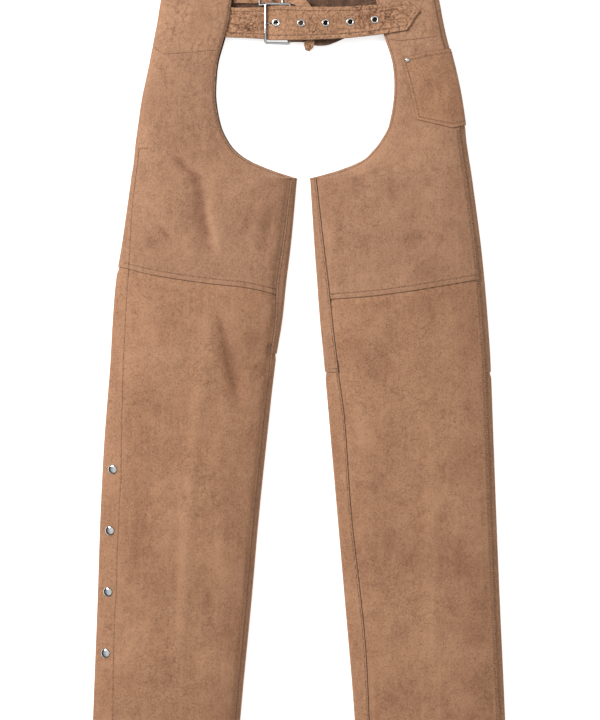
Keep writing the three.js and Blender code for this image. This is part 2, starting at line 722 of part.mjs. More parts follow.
// Height of a place on the pocket, from its girth inward from the fold and its share of the pocket's height.
function pocketHeight(girth, share) {
  const front = POCKET_FRONT_WIDTH - FOLD_RADIUS;
  const back = -Math.PI * FOLD_RADIUS - POCKET_BACK_WIDTH;
  const point = POCKET_POINT * (1 - Math.abs(2 * girth - front - back) / (front - back));
  const slant = Math.min((POCKET_SLANT * (front - girth)) / front, POCKET_SLANT);
  const top = RISE - POCKET_RISE;
  return mix(top - POCKET_DEPTH - point, top + slant, share);
}

// The pocket's front edge leans in towards its lower end by POCKET_TAPER.
function pocketGirth(girth, share) {
  const front = POCKET_FRONT_WIDTH - FOLD_RADIUS;
  return girth > 0 ? girth * (1 - (POCKET_TAPER * (1 - share)) / front) : girth;
}

// How far the pocket's lattice rises under the rivet's rim above the rivet's own corner.
function rivetLift(seatSpot) {
  const corners = [
    [POCKET_FRONT_WIDTH - FOLD_RADIUS, RIVET_ROW],
    [POCKET_COLUMNS[0] * RIVET_GIRTH, RIVET_ROW],
    [RIVET_GIRTH, POCKET_ROWS[3]],
    [RIVET_GIRTH, 1],
    [POCKET_COLUMNS[0] * RIVET_GIRTH, 1],
    [POCKET_FRONT_WIDTH - FOLD_RADIUS, POCKET_ROWS[3]],
  ];
  const lifts = corners.map(([girth, share]) => {
    const inset = pocketGirth(girth, share) + FOLD_RADIUS;
    const offset = legSpot(LEFT, inset, pocketHeight(girth, share), LAYER + LEATHER).point.sub(seatSpot.point);
    const rise = offset.dot(seatSpot.normal);
    return (rise * RIVET_DIAMETER) / 2 / Math.sqrt(offset.lengthSq() - rise * rise);
  });
  return Math.max(0, ...lifts);
}

function pocketGeometry(leg) {
  const turnLength = Math.PI * FOLD_RADIUS;
  const inner = POCKET_COLUMNS.map((share) => share * RIVET_GIRTH);
  const girths = [POCKET_FRONT_WIDTH - FOLD_RADIUS, RIVET_GIRTH, ...inner];
  const folds = [0, -0.25, -0.5, -0.75, -1].map((share) => share * turnLength);
  const under = [0.5, 1].map((share) => -turnLength - share * POCKET_BACK_WIDTH);
  const stations = [...girths, ...folds, ...under];
  return sheetGeometry(POCKET_ROWS.length, stations.length, (row, column) => {
    const y = pocketHeight(stations[column], POCKET_ROWS[row]);
    const girth = pocketGirth(stations[column], POCKET_ROWS[row]);
    const section = outline(leg, y);
    const run = section.outer - section.inner - FOLD_RADIUS;
    let round = girth / run;
    if (girth < 0) round = girth / turnLength;
    if (girth < -turnLength) round = -1 + (girth + turnLength) / (run + leg.backPeek);
    return legFaces(leg, round, y, LAYER);
  });
}

// Height of the two faces of a hip's front at a place x, y. Beside the cutout it is that of the nearest edge.
function hipPlace(leg, x, y) {
  const { outer, inner } = outline(leg, y);
  const inward = outer - leg.side * x;
  const round = clamp((inward - FOLD_RADIUS) / (outer - inner - FOLD_RADIUS), 0, 1);
  return legSection(leg, round, y);
}

// Height of the underside of a hip's front at its cutout edge, where the straps come out.
function edgeUnderside(leg, y) {
  return LEATHER + outline(leg, y).lift;
}

function frontTop(leg, x, y) {
  const place = hipPlace(leg, x, y);
  return place.z + LEATHER / place.normalZ;
}

// The belt's course from the right hip to its tip on the left hip. at: x as a share of half CUTOUT_WIDTH.
// up: middle line as a share of RISE. width: share of BELT_WIDTH.
const BELT_COURSE = [
  { at: -1.12, up: 0.826, width: 0.9 },
  { at: -0.81, up: 0.824, width: 0.9 },
  { at: -0.45, up: 0.82, width: 0.96 },
  { at: -0.37, up: 0.821, width: 1.04 },
  { at: 0.04, up: 0.817, width: 1.0 },
  { at: 0.44, up: 0.821, width: 0.96 },
  { at: 0.885, up: 0.838, width: 0.91 },
  { at: 1.15, up: 0.855, width: 0.885 },
];

const WIRE_RADIUS = BUCKLE_WIRE / 2;
const HEEL_BAR_X = BUCKLE_FRONT_X + BUCKLE_LENGTH;
const BELT_OVER_HEEL = HEEL_BAR_Z + WIRE_RADIUS + PRONG_WIRE + 2.5 * GAP;
const FRONT_BAR_Z = BELT_UNDER_BAR + BELT_THICKNESS + GAP + WIRE_RADIUS;
const BUCKLE_Y = RISE * 0.816;
const BELT_TIP_X = 1.15 * HALF_CUTOUT;

// Height of the belt's underside. It is tucked under the right front, and lies on the left one.
function beltLow(x, y) {
  const inHip = edgeUnderside(RIGHT, y) - BELT_LIE - BELT_THICKNESS;
  const beforeBar = mix(inHip, BELT_UNDER_BAR, ease(x, -0.8 * HALF_CUTOUT, BUCKLE_FRONT_X - WIRE_RADIUS));
  const low = mix(beforeBar, BELT_OVER_HEEL, ease(x, BUCKLE_FRONT_X + WIRE_RADIUS, HEEL_BAR_X - WIRE_RADIUS));
  const riseX = 0.6 * HALF_CUTOUT;
  if (x < riseX) return low;
  const hipTop = frontTop(LEFT, BELT_TIP_X, BUCKLE_Y) + BELT_LIE;
  return Math.max(mix(low, hipTop, ease(x, riseX, BELT_TIP_X)), frontTop(LEFT, x, y) + BELT_LIE);
}

function beltNormal(x, y) {
  const slopeX = (beltLow(x + 1, y) - beltLow(x - 1, y)) / 2;
  const slopeY = (beltLow(x, y + 1) - beltLow(x, y - 1)) / 2;
  return new THREE.Vector3(-slopeX, -slopeY, 1).normalize();
}

function beltMiddle(x) {
  return RISE * along(BELT_COURSE, "at", x / HALF_CUTOUT, "up");
}

function beltSpot(x) {
  const y = beltMiddle(x);
  return { point: new THREE.Vector3(x, y, beltLow(x, y)), normal: beltNormal(x, y) };
}

// Runs of the belt, each cut into equal steps. to: x as a share of half CUTOUT_WIDTH. The steps are short round
// the buckle and up the hip.
const BELT_RUNS = [
  { to: -0.49, steps: 4 },
  { to: -0.13, steps: 8 },
  { to: 0.6, steps: 5 },
  { to: 1.15, steps: 8 },
];
// Places across a strap, as shares of its width. The belt's point is at POINT_ACROSS.
const POINT_ACROSS = 0.16;
const STRAP_ACROSS = [-0.5, -0.17, POINT_ACROSS, 0.5];
const TIP_STEPS = 3;

function beltStations() {
  const stations = [-HALF_CUTOUT * 0.84 - BELT_TUCK];
  for (const { to, steps } of BELT_RUNS) {
    const from = stations[stations.length - 1];
    for (let step = 1; step <= steps; step += 1) stations.push(mix(from, to * HALF_CUTOUT, step / steps));
  }
  return stations;
}

function beltGeometry() {
  const stations = beltStations();
  const beforeTip = stations.length - 1 - TIP_STEPS;
  return sheetGeometry(stations.length, STRAP_ACROSS.length, (index, column) => {
    const across = STRAP_ACROSS[column];
    const edge = across > POINT_ACROSS ? 0.5 : -0.5;
    const pointed = 1 - Math.abs((across - POINT_ACROSS) / (edge - POINT_ACROSS));
    const x = stations[index] + BELT_TIP * pointed * clamp((index - beforeTip) / TIP_STEPS, 0, 1);
    const width = BELT_WIDTH * along(BELT_COURSE, "at", stations[index] / HALF_CUTOUT, "width");
    const y = beltMiddle(x) + width * across;
    const low = beltLow(x, y);
    return { inside: [x, y, low], outside: [x, y, low + BELT_THICKNESS] };
  });
}

const EYELET_SIDES = 14;

function eyeletGeometry() {
  const hole = EYELET_HOLE / 2;
  const wall = hole + EYELET_WALL;
  const rim = EYELET_DIAMETER / 2;
  const washer = rim - EYELET_WALL;
  const top = BELT_THICKNESS + GAP;
  const inner = [hole, top + 0.5 * EYELET_ROLL];
  const roll = [[0.5 * (hole + rim), top + EYELET_ROLL], [rim, top + 0.3 * EYELET_ROLL], [rim, top]];
  const foot = -GAP - 0.5 * EYELET_ROLL;
  const below = [[wall, -GAP], [washer, -GAP], [washer, foot], [hole, foot]];
  return turned([inner, ...roll, [wall, top], ...below, inner], EYELET_SIDES);
}

// A round bar of one radius or more along a line of points, closed into a ring or with flat ends.
function barGeometry(points, radii, sides, isRing) {
  const positions = [];
  const index = [];
  const count = points.length;
  const side = new THREE.Vector3();
  points.forEach((point, at) => {
    const before = points[isRing ? (at + count - 1) % count : Math.max(at - 1, 0)];
    const after = points[isRing ? (at + 1) % count : Math.min(at + 1, count - 1)];
    const ahead = after.clone().sub(before).normalize();
    const reference = Math.abs(ahead.z) > 0.9 ? new THREE.Vector3(0, 1, 0) : new THREE.Vector3(0, 0, 1);
    if (at === 0) side.crossVectors(ahead, reference).normalize();
    side.addScaledVector(ahead, -side.dot(ahead)).normalize();
    const up = new THREE.Vector3().crossVectors(side, ahead);
    for (let step = 0; step < sides; step += 1) {
      const angle = (2 * Math.PI * step) / sides;
      const off = side.clone().multiplyScalar(Math.cos(angle)).addScaledVector(up, Math.sin(angle));
      positions.push(...point.clone().addScaledVector(off, radii[at]).toArray());
    }
  });
  const last = isRing ? count : count - 1;
  for (let at = 0; at < last; at += 1) {
    const next = (at + 1) % count;
    for (let step = 0; step < sides; step += 1) {
      const turn = (step + 1) % sides;
      const [a, b] = [at * sides + step, at * sides + turn];
      const [c, d] = [next * sides + turn, next * sides + step];
      index.push(a, b, c, a, c, d);
    }
  }
  if (!isRing) {
    for (let step = 1; step < sides - 1; step += 1) {
      index.push(0, step + 1, step);
      const end = (count - 1) * sides;
      index.push(end, end + step, end + step + 1);
    }
  }
  return closedGeometry(positions, index);
}

// The buckle's frame is a bent round bar, tilted from its heel bar up to its front bar.
function buckleZ(x) {
  return mix(FRONT_BAR_Z, HEEL_BAR_Z, (x - BUCKLE_FRONT_X) / BUCKLE_LENGTH);
}

function buckleFrameGeometry() {
  const points = [];
  const corners = [
    [HEEL_BAR_X, BUCKLE_Y + BUCKLE_HEIGHT / 2, 0],
    [BUCKLE_FRONT_X, BUCKLE_Y + BUCKLE_HEIGHT / 2, 1],
    [BUCKLE_FRONT_X, BUCKLE_Y - BUCKLE_HEIGHT / 2, 2],
    [HEEL_BAR_X, BUCKLE_Y - BUCKLE_HEIGHT / 2, 3],
  ];
  for (const [x, y, quarter] of corners) {
    const inX = x > BUCKLE_FRONT_X ? x - BUCKLE_CORNER : x + BUCKLE_CORNER;
    const inY = y > BUCKLE_Y ? y - BUCKLE_CORNER : y + BUCKLE_CORNER;
    for (const step of [0, 1, 2]) {
      const angle = (Math.PI / 2) * (quarter + step / 2);
      const px = inX + BUCKLE_CORNER * Math.cos(angle);
      points.push(new THREE.Vector3(px, inY + BUCKLE_CORNER * Math.sin(angle), buckleZ(px)));
    }
  }
  return barGeometry(points, points.map(() => WIRE_RADIUS), 8, true);
}

// The prong's eye goes round the heel bar, and its shaft comes up through the belt to the front bar.
const PRONG_RISE = { x: BUCKLE_FRONT_X + 9.8, z: 8.1 };
const PRONG_TOP = { x: BUCKLE_FRONT_X + 6, z: BELT_UNDER_BAR + BELT_THICKNESS + 1.5 };
const PRONG_TIP = { x: BUCKLE_FRONT_X + WIRE_RADIUS + 0.9, z: PRONG_TOP.z + 0.3 };

function prongGeometry() {
  const eye = WIRE_RADIUS + GAP + PRONG_WIRE / 2;
  const points = [];
  for (const degrees of [118, 70, 22, -26, -74, -122, -168]) {
    const angle = THREE.MathUtils.degToRad(degrees);
    points.push([HEEL_BAR_X + eye * Math.cos(angle), HEEL_BAR_Z + eye * Math.sin(angle)]);
  }
  points.push([HEEL_BAR_X - 2 * eye, HEEL_BAR_Z - 0.4], [PRONG_RISE.x, PRONG_RISE.z]);
  points.push([PRONG_TOP.x, PRONG_TOP.z], [PRONG_TIP.x, PRONG_TIP.z]);
  const path = points.map(([x, z]) => new THREE.Vector3(x, BUCKLE_Y, z));
  const radii = path.map((point, at) => (at < path.length - 1 ? PRONG_WIRE / 2 : PRONG_WIRE / 3));
  return barGeometry(path, radii, 6, false);
}

function prongHoleCutter() {
  const path = [
    [PRONG_RISE.x + 2.2, PRONG_RISE.z - 2.6],
    [PRONG_TOP.x - 1.5, PRONG_TOP.z + 1.8],
  ].map(([x, z]) => new THREE.Vector3(x, BUCKLE_Y, z));
  const radius = PRONG_WIRE / 2 + 3 * GAP;
  return barGeometry(path, [radius, radius], 8, false);
}

// The buckle's own strap goes round the heel bar, is sewn to itself, and runs back under the left hip.
// at: x as a share of half CUTOUT_WIDTH. sag: share of BELT_WIDTH by which it hangs below the buckle's middle.
const BUCKLE_STRAP_COURSE = [
  { at: -0.15, sag: 0.045 },
  { at: 0.03, sag: 0.06 },
  { at: 0.14, sag: 0.15 },
  { at: 0.26, sag: 0.14 },
  { at: 0.36, sag: 0.05 },
  { at: 0.5, sag: -0.1 },
  { at: 0.8, sag: -0.2 },
  { at: 1.2, sag: -0.26 },
];
const BUCKLE_STRAP_WIDTH = 0.98 * BELT_WIDTH;
const LOOP_ANGLES = [80, 125, 180, 235, 280];
const RUN_STEPS = 12;
const BUCKLE_STRAP_LOW = HEEL_BAR_Z - WIRE_RADIUS - GAP - LEATHER;
const LOOP_RETURN_Z = HEEL_BAR_Z + GAP;
const BUCKLE_STRAP_REST = GATHER_HEIGHT + LEATHER + GAP;

function buckleStrapLow(x, y) {
  const settled = ease(x, HEEL_BAR_X + WIRE_RADIUS, HEEL_BAR_X + 1.5 * LOOP_RETURN);
  const rest = mix(BUCKLE_STRAP_LOW, BUCKLE_STRAP_REST, settled);
  const inHip = edgeUnderside(LEFT, y) - BELT_LIE - LEATHER;
  return mix(rest, inHip, ease(x, 0.45 * HALF_CUTOUT, 0.8 * HALF_CUTOUT));
}

function buckleStrapGeometry() {
  const loop = WIRE_RADIUS + GAP;
  const end = HALF_CUTOUT * 0.87 + BELT_TUCK;
  const profile = [];
  const addFaces = (x, inner, outerPoint) => profile.push({ inside: [x, inner], outside: outerPoint });
  for (const share of [1, 0.6]) {
    const x = HEEL_BAR_X + share * LOOP_RETURN;
    addFaces(x, LOOP_RETURN_Z, [x, LOOP_RETURN_Z + LEATHER]);
  }
  for (const degrees of LOOP_ANGLES) {
    const angle = THREE.MathUtils.degToRad(degrees);
    const at = (radius) => [HEEL_BAR_X + radius * Math.cos(angle), HEEL_BAR_Z + radius * Math.sin(angle)];
    profile.push({ inside: at(loop), outside: at(loop + LEATHER) });
  }
  const loopEnd = profile.length;
  for (let step = 1; step <= RUN_STEPS; step += 1) {
    const x = mix(HEEL_BAR_X + loop, end, step / RUN_STEPS);
    addFaces(x, 0, [x, 0]);
  }
  const body = sheetGeometry(profile.length, STRAP_ACROSS.length, (row, column) => {
    const { inside, outside } = profile[row];
    const sag = BELT_WIDTH * along(BUCKLE_STRAP_COURSE, "at", inside[0] / HALF_CUTOUT, "sag");
    const y = BUCKLE_Y - sag + BUCKLE_STRAP_WIDTH * STRAP_ACROSS[column];
    if (row < loopEnd) return { inside: [inside[0], y, inside[1]], outside: [outside[0], y, outside[1]] };
    const low = buckleStrapLow(inside[0], y);
    return { inside: [inside[0], y, low + LEATHER], outside: [outside[0], y, low] };
  });
  const slotLength = 2 * (loop + PRONG_WIRE + GAP);
  const slot = new THREE.BoxGeometry(slotLength, PRONG_WIRE + 6 * GAP, 3 * slotLength);
  slot.translate(HEEL_BAR_X, BUCKLE_Y, HEEL_BAR_Z);
  return cutFrom(body, [slot]);
}

// The back yoke joins the two hips behind, gathered along its length.
const YOKE_STEPS = 36;

// Under the slider the gathers are pressed flatter.
function gatherShare(x) {
  return mix(0.25, 1, ease(Math.abs(x - SLIDER_X), 0.7 * SLIDER_LENGTH, 1.1 * SLIDER_LENGTH));
}

function yokeGather(x) {
  const inside = ease(Math.abs(x), 0.78 * HALF_CUTOUT, 0.6 * HALF_CUTOUT) * gatherShare(x);
  return 0.5 * GATHER_HEIGHT * (1 - Math.cos((2 * Math.PI * x) / GATHER_PITCH)) * inside;
}

function yokeLow(x) {
  const lapStart = HALF_CUTOUT * 0.76;
  return yokeGather(x) + LAYER * ease(Math.abs(x), lapStart - STEP_RUN, lapStart);
}

function backYokeGeometry() {
  const half = HALF_CUTOUT * 0.8 + YOKE_LAP;
  const lapEnd = HALF_CUTOUT * 0.79;
  const gathered = HALF_CUTOUT * 0.72;
  const stations = [-half, -lapEnd];
  for (let step = 0; step <= YOKE_STEPS; step += 1) {
    stations.push(mix(-gathered, gathered, step / YOKE_STEPS));
  }
  stations.push(lapEnd, half);
  const top = RISE + BACK_RISE;
  const acrosses = [0, 0.5, 1];
  return sheetGeometry(stations.length, acrosses.length, (index, column) => {
    const x = stations[index];
    const droop = YOKE_DROOP * (1 - (x / half) ** 2);
    const y = mix(top - YOKE_DEPTH, top, acrosses[column]) - droop;
    const low = yokeLow(x);
    return { inside: [x, y, low], outside: [x, y, low + LEATHER] };
  });
}

// The back strap lies inside the yoke, weaves through the slider and ends in a tail under the belt.
// at and up: its middle line, as shares of half CUTOUT_WIDTH and of RISE. heading: degrees from +X.
const SLIDER_Y = RISE * 0.955;
const BACK_STRAP_COURSE = [
  { at: -0.78, up: 0.955, heading: 0 },
  { at: -0.56, up: 0.955, heading: 0 },
  { at: -0.43, up: 0.955, heading: 0 },
  { at: -0.382, up: 0.955, heading: 0 },
  { at: -0.352, up: 0.955, heading: 0 },
  { at: -0.304, up: 0.955, heading: 0 },
  { at: -0.22, up: 0.955, heading: -3 },
  { at: -0.12, up: 0.95, heading: -18 },
  { at: -0.02, up: 0.925, heading: -42 },
  { at: 0.045, up: 0.885, heading: -66 },
  { at: 0.075, up: 0.84, heading: -80 },
  { at: 0.078, up: 0.78, heading: -92 },
  { at: 0.07, up: 0.735, heading: -96 },
  { at: 0.062, up: 0.702, heading: -99 },
];

function yokeTop(x) {
  return GATHER_HEIGHT * gatherShare(x) + LEATHER + GAP;
}

const SLIDER_Z = yokeTop(SLIDER_X) + LEATHER + GAP + SLIDER_WIRE / 2;

// Height of the back strap's underside: below the slider's end bars, over its middle bar, then over the
// buckle strap's loop and down onto that strap.
function backStrapLow(at, up) {
  const x = at * HALF_CUTOUT;
  const overBar = SLIDER_Z + SLIDER_WIRE / 2 + GAP;
  const nearBar = ease(Math.abs(x - SLIDER_X), 0.22 * SLIDER_LENGTH, 0.06 * SLIDER_LENGTH);
  const onYoke = mix(yokeTop(x), overBar, nearBar);
  const overLoop = LOOP_RETURN_Z + LEATHER + GAP;
  const onStrap = BUCKLE_STRAP_REST + LEATHER + 2 * GAP;
  const tail = mix(overLoop, onStrap, ease(up, 0.86, 0.76));
  return mix(onYoke, tail, ease(up, 0.953, 0.925));
}

function backStrapGeometry() {
  const acrosses = [-0.5, 0, 0.5];
  const last = BACK_STRAP_COURSE.length - 1;
  return sheetGeometry(BACK_STRAP_COURSE.length, acrosses.length, (index, column) => {
    const { at, up, heading } = BACK_STRAP_COURSE[index];
    const angle = THREE.MathUtils.degToRad(heading);
    const narrowed = index === last ? 0.5 : 1;
    const aside = BACK_STRAP_WIDTH * acrosses[column] * narrowed;
    const x = at * HALF_CUTOUT - aside * Math.sin(angle);
    const y = up * RISE + aside * Math.cos(angle);
    const low = backStrapLow(at, up);
    return { inside: [x, y, low], outside: [x, y, low + LEATHER] };
  });
}

function sliderGeometry() {
  const halfX = SLIDER_LENGTH / 2;
  const halfY = BACK_STRAP_WIDTH / 2 + 2 * GAP + SLIDER_WIRE;
  const frame = new THREE.Shape();
  const corner = SLIDER_WIRE;
  frame.absarc(halfX - corner, halfY - corner, corner, 0, Math.PI / 2);
  frame.absarc(corner - halfX, halfY - corner, corner, Math.PI / 2, Math.PI);
  frame.absarc(corner - halfX, corner - halfY, corner, Math.PI, 1.5 * Math.PI);
  frame.absarc(halfX - corner, corner - halfY, corner, 1.5 * Math.PI, 2 * Math.PI);
  const settings = { depth: SLIDER_WIRE, bevelEnabled: false, curveSegments: 3 };
  const plate = new THREE.ExtrudeGeometry(frame, settings).translate(0, 0, -SLIDER_WIRE / 2);
  const windowLength = halfX - 1.5 * SLIDER_WIRE;
  const windows = [-1, 1].map((side) => {
    const opening = new THREE.BoxGeometry(windowLength, 2 * (halfY - SLIDER_WIRE), 3 * SLIDER_WIRE);
    return opening.translate((side * (windowLength + SLIDER_WIRE)) / 2, 0, 0);
  });
  const slider = cutFrom(plate, windows);
  slider.rotateZ(THREE.MathUtils.degToRad(SLIDER_TILT));
  return slider.translate(SLIDER_X, SLIDER_Y, SLIDER_Z);
}

// Legs. The hole cutters run from well below the layers that they cut to well above them.
const CUTTER_REACH = 9;

for (const leg of [RIGHT, LEFT]) {
  const panels = addLeg(leg);
  const isRight = leg === RIGHT;
  const snapSpots = [];
  for (let snap = 0; isRight && snap < SNAP_COUNT; snap += 1) {
    const y = -INSEAM + SNAPS_FROM_HEM + SNAP_PITCH * (SNAP_COUNT - 1 - snap);
    snapSpots.push(legSpot(leg, SNAP_FROM_EDGE, y, LEATHER));
  }
  const postHoles = snapSpots.map(({ point, normal }) =>
    seat(holeCutter(SNAP_POST / 2 + GAP, -CUTTER_REACH, CUTTER_REACH, 8), point, normal),
  );
  addPiece(`${leg.name}_thigh_front`, panels.frontThigh, leatherLook);
  const frontShin = isRight ? cutFrom(panels.frontShin, postHoles) : panels.frontShin;
  addPiece(`${leg.name}_shin_front`, frontShin, shinLook);
  addPiece(`${leg.name}_thigh_back`, panels.backThigh, leatherLook);
  addPiece(`${leg.name}_shin_back`, panels.backShin, shinLook);
  if (!isRight) continue;
  addPiece("right_side_placket", cutFrom(placketGeometry(leg), postHoles), leatherLook);
  snapSpots.forEach(({ point, normal }, snap) => {
    addPiece(`right_snap_${snap + 1}`, seat(snapGeometry(), point, normal), chromeLook);
  });
}

// Hip pocket
addPiece("left_hip_pocket", pocketGeometry(LEFT), shinLook);
const rivetY = pocketHeight(RIVET_GIRTH, RIVET_ROW);
const rivetInset = pocketGirth(RIVET_GIRTH, RIVET_ROW) + FOLD_RADIUS;
const rivetSpot = legSpot(LEFT, rivetInset, rivetY, LAYER + LEATHER);
const rivetPoint = rivetSpot.point.clone().addScaledVector(rivetSpot.normal, rivetLift(rivetSpot));
addPiece("left_pocket_rivet", seat(rivetGeometry(), rivetPoint, rivetSpot.normal), nickelLook);

// Belt, buckle and eyelets
const eyeletSpots = [];
for (let eyelet = 0; eyelet < EYELET_COUNT; eyelet += 1) {
  eyeletSpots.push(beltSpot(BUCKLE_FRONT_X + FIRST_EYELET + EYELET_PITCH * eyelet));
}
const eyeletSeat = EYELET_HOLE / 2 + EYELET_WALL + GAP;
const eyeletHoles = eyeletSpots.map(({ point, normal }) =>
  seat(holeCutter(eyeletSeat, -CUTTER_REACH, CUTTER_REACH, EYELET_SIDES), point, normal),
);
addPiece("belt_strap", cutFrom(beltGeometry(), [...eyeletHoles, prongHoleCutter()]), beltLook);
eyeletSpots.forEach(({ point, normal }, eyelet) => {
  addPiece(`eyelet_${eyelet + 1}`, seat(eyeletGeometry(), point, normal), nickelLook);
});
addPiece("buckle_frame", buckleFrameGeometry(), chromeLook);
addPiece("buckle_prong", prongGeometry(), chromeLook);
addPiece("buckle_strap", buckleStrapGeometry(), beltLook);

// Back of the waist
addPiece("back_yoke", backYokeGeometry(), leatherLook);
addPiece("back_strap", backStrapGeometry(), beltLook);
addPiece("back_slider", sliderGeometry(), nickelLook);

// The origin is the middle of the underside.
const whole = new THREE.Box3().setFromObject(chaps);
const centre = whole.getCenter(new THREE.Vector3());
chaps.position.set(-centre.x, -centre.y, -whole.min.z);

export default chaps;
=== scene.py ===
"""Motorcycle chaps, lying flat with the front up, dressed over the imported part.

Lengths are in millimetres until a mesh is made. The sheets are shaped round the crotch, at x = 0 and y = 0,
as the part's own are. Right and left are the wearer's: the right leg lies at -X.
"""

import json
import math
from collections import namedtuple

import bpy
import numpy as np
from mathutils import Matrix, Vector, kdtree, noise

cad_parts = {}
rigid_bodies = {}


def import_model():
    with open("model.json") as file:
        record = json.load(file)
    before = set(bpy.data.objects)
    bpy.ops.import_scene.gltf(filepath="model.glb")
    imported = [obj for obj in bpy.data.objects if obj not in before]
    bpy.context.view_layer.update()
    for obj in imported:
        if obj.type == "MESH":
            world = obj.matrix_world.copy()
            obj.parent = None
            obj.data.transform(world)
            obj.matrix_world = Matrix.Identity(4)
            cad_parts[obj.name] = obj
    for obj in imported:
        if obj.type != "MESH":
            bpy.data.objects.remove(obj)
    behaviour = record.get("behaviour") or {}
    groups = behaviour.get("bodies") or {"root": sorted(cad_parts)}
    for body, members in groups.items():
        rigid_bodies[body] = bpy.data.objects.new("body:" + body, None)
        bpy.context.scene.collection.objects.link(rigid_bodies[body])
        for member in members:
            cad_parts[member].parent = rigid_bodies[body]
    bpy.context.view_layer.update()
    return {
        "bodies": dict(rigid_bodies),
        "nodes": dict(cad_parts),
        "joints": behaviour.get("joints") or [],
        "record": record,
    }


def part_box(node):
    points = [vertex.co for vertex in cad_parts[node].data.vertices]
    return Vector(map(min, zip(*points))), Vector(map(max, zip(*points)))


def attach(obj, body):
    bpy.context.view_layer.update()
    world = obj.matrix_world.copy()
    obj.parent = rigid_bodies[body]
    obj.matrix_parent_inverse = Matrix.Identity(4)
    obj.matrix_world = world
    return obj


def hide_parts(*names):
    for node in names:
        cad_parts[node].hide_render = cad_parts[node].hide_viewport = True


bl_info = {
    "name": "Motorcycle chaps",
    "version": (1, 0, 0),
    "blender": (4, 5, 0),
    "location": "3D View > Sidebar > Chaps",
    "description": "Leather panels, belt, fittings, seams and studio of a pair of motorcycle chaps",
    "category": "Object",
}

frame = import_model()

# Leather
LEATHER = 1.6
GAP = 0.3
LAP = 12
STEP_RUN = 10
LAYER = LEATHER + GAP

# Distances between the lattice lines of a front and of a back, and the distance that counts as far from an
# edge
FINE_STEP = 2.5
COARSE_STEP = 7.0
FAR = 40

# Body lengths and widths
INSEAM = 861
RISE = 285
BACK_RISE = 24
THIGH_WIDTH = 250
CUTOUT_WIDTH = 269.5
HALF_CUTOUT = CUTOUT_WIDTH / 2
CROTCH_GAP = 19.5
LEG_SPREAD = 90
SIDE_SEAM = 3
FOLD_HEIGHT = 9
FOLD_RADIUS = FOLD_HEIGHT / 2
CROWN = 14
KNEE_SPREAD = 0.13 * INSEAM

# Side closure, pocket
PLACKET_WIDTH = 28
PLACKET_RISE = 45
SNAP_DIAMETER = 14.4
SNAP_HEIGHT = 2.6
SNAP_PITCH = 92
SNAP_FROM_EDGE = 15
SNAPS_FROM_HEM = 148
SNAP_COUNT = 4
POCKET_FRONT_WIDTH = 76
POCKET_BACK_WIDTH = 26
POCKET_RISE = 105
POCKET_DEPTH = 92
POCKET_POINT = 13
POCKET_SLANT = 15
POCKET_TAPER = 6
POCKET_FRONT = POCKET_FRONT_WIDTH - FOLD_RADIUS
POCKET_BACK = -math.pi * FOLD_RADIUS - POCKET_BACK_WIDTH
RIVET_DIAMETER = 7
RIVET_HEIGHT = 1.8
RIVET_GIRTH = POCKET_FRONT - 9
RIVET_ROW = 0.95

# Belt and buckle
BELT_WIDTH = 50
BELT_THICKNESS = 2.6
BELT_TUCK = 40
BELT_TIP = 20
BELT_LIE = 0.6
BELT_TIP_X = 1.15 * HALF_CUTOUT
POINT_ACROSS = 0.16
EYELET_DIAMETER = 12
EYELET_HOLE = 6.6
EYELET_WALL = 0.8
EYELET_ROLL = 1.1
EYELET_PITCH = 37
EYELET_COUNT = 5
FIRST_EYELET = 16.5
WIRE_RADIUS = 2
BUCKLE_LENGTH = 37
BUCKLE_HEIGHT = 59.4
BUCKLE_CORNER = 3
BUCKLE_FRONT_X = -57.3
BUCKLE_Y = 0.816 * RISE
HEEL_BAR_X = BUCKLE_FRONT_X + BUCKLE_LENGTH
HEEL_BAR_Z = 9
BELT_UNDER_BAR = 8.8
FRONT_BAR_Z = BELT_UNDER_BAR + BELT_THICKNESS + GAP + WIRE_RADIUS
PRONG_WIRE = 1.8
BELT_OVER_HEEL = HEEL_BAR_Z + WIRE_RADIUS + PRONG_WIRE + 2.5 * GAP
LOOP_RETURN = 20
LOOP_RETURN_Z = HEEL_BAR_Z + GAP

# Back of the waist
YOKE_DEPTH = 72
YOKE_LAP = 16
YOKE_DROOP = 4
GATHER_PITCH = 23
GATHER_HEIGHT = 3.4
BACK_STRAP_WIDTH = 15
SLIDER_LENGTH = 37.5
SLIDER_WIRE = 2.4
SLIDER_TILT = 3.5
SLIDER_X = -49.5
SLIDER_Y = 0.955 * RISE
BUCKLE_STRAP_WIDTH = 0.98 * BELT_WIDTH
BUCKLE_STRAP_LOW = HEEL_BAR_Z - WIRE_RADIUS - GAP - LEATHER
BUCKLE_STRAP_REST = GATHER_HEIGHT + LEATHER + GAP

Length = namedtuple("Length", "down inner width crown")
Hip = namedtuple("Hip", "up cut outer lift crown")
Knee = namedtuple("Knee", "across down")
Strip = namedtuple("Strip", "down strip")
Fold = namedtuple("Fold", "across_from across_to down_from down_to depth width")
Course = namedtuple("Course", "at up width")
Sag = namedtuple("Sag", "at sag")
Tail = namedtuple("Tail", "at up heading")
Leg = namedtuple(
    "Leg", "name side length hip knee strip folds creases knee_down back_knee_down back_peek front_wraps"
)

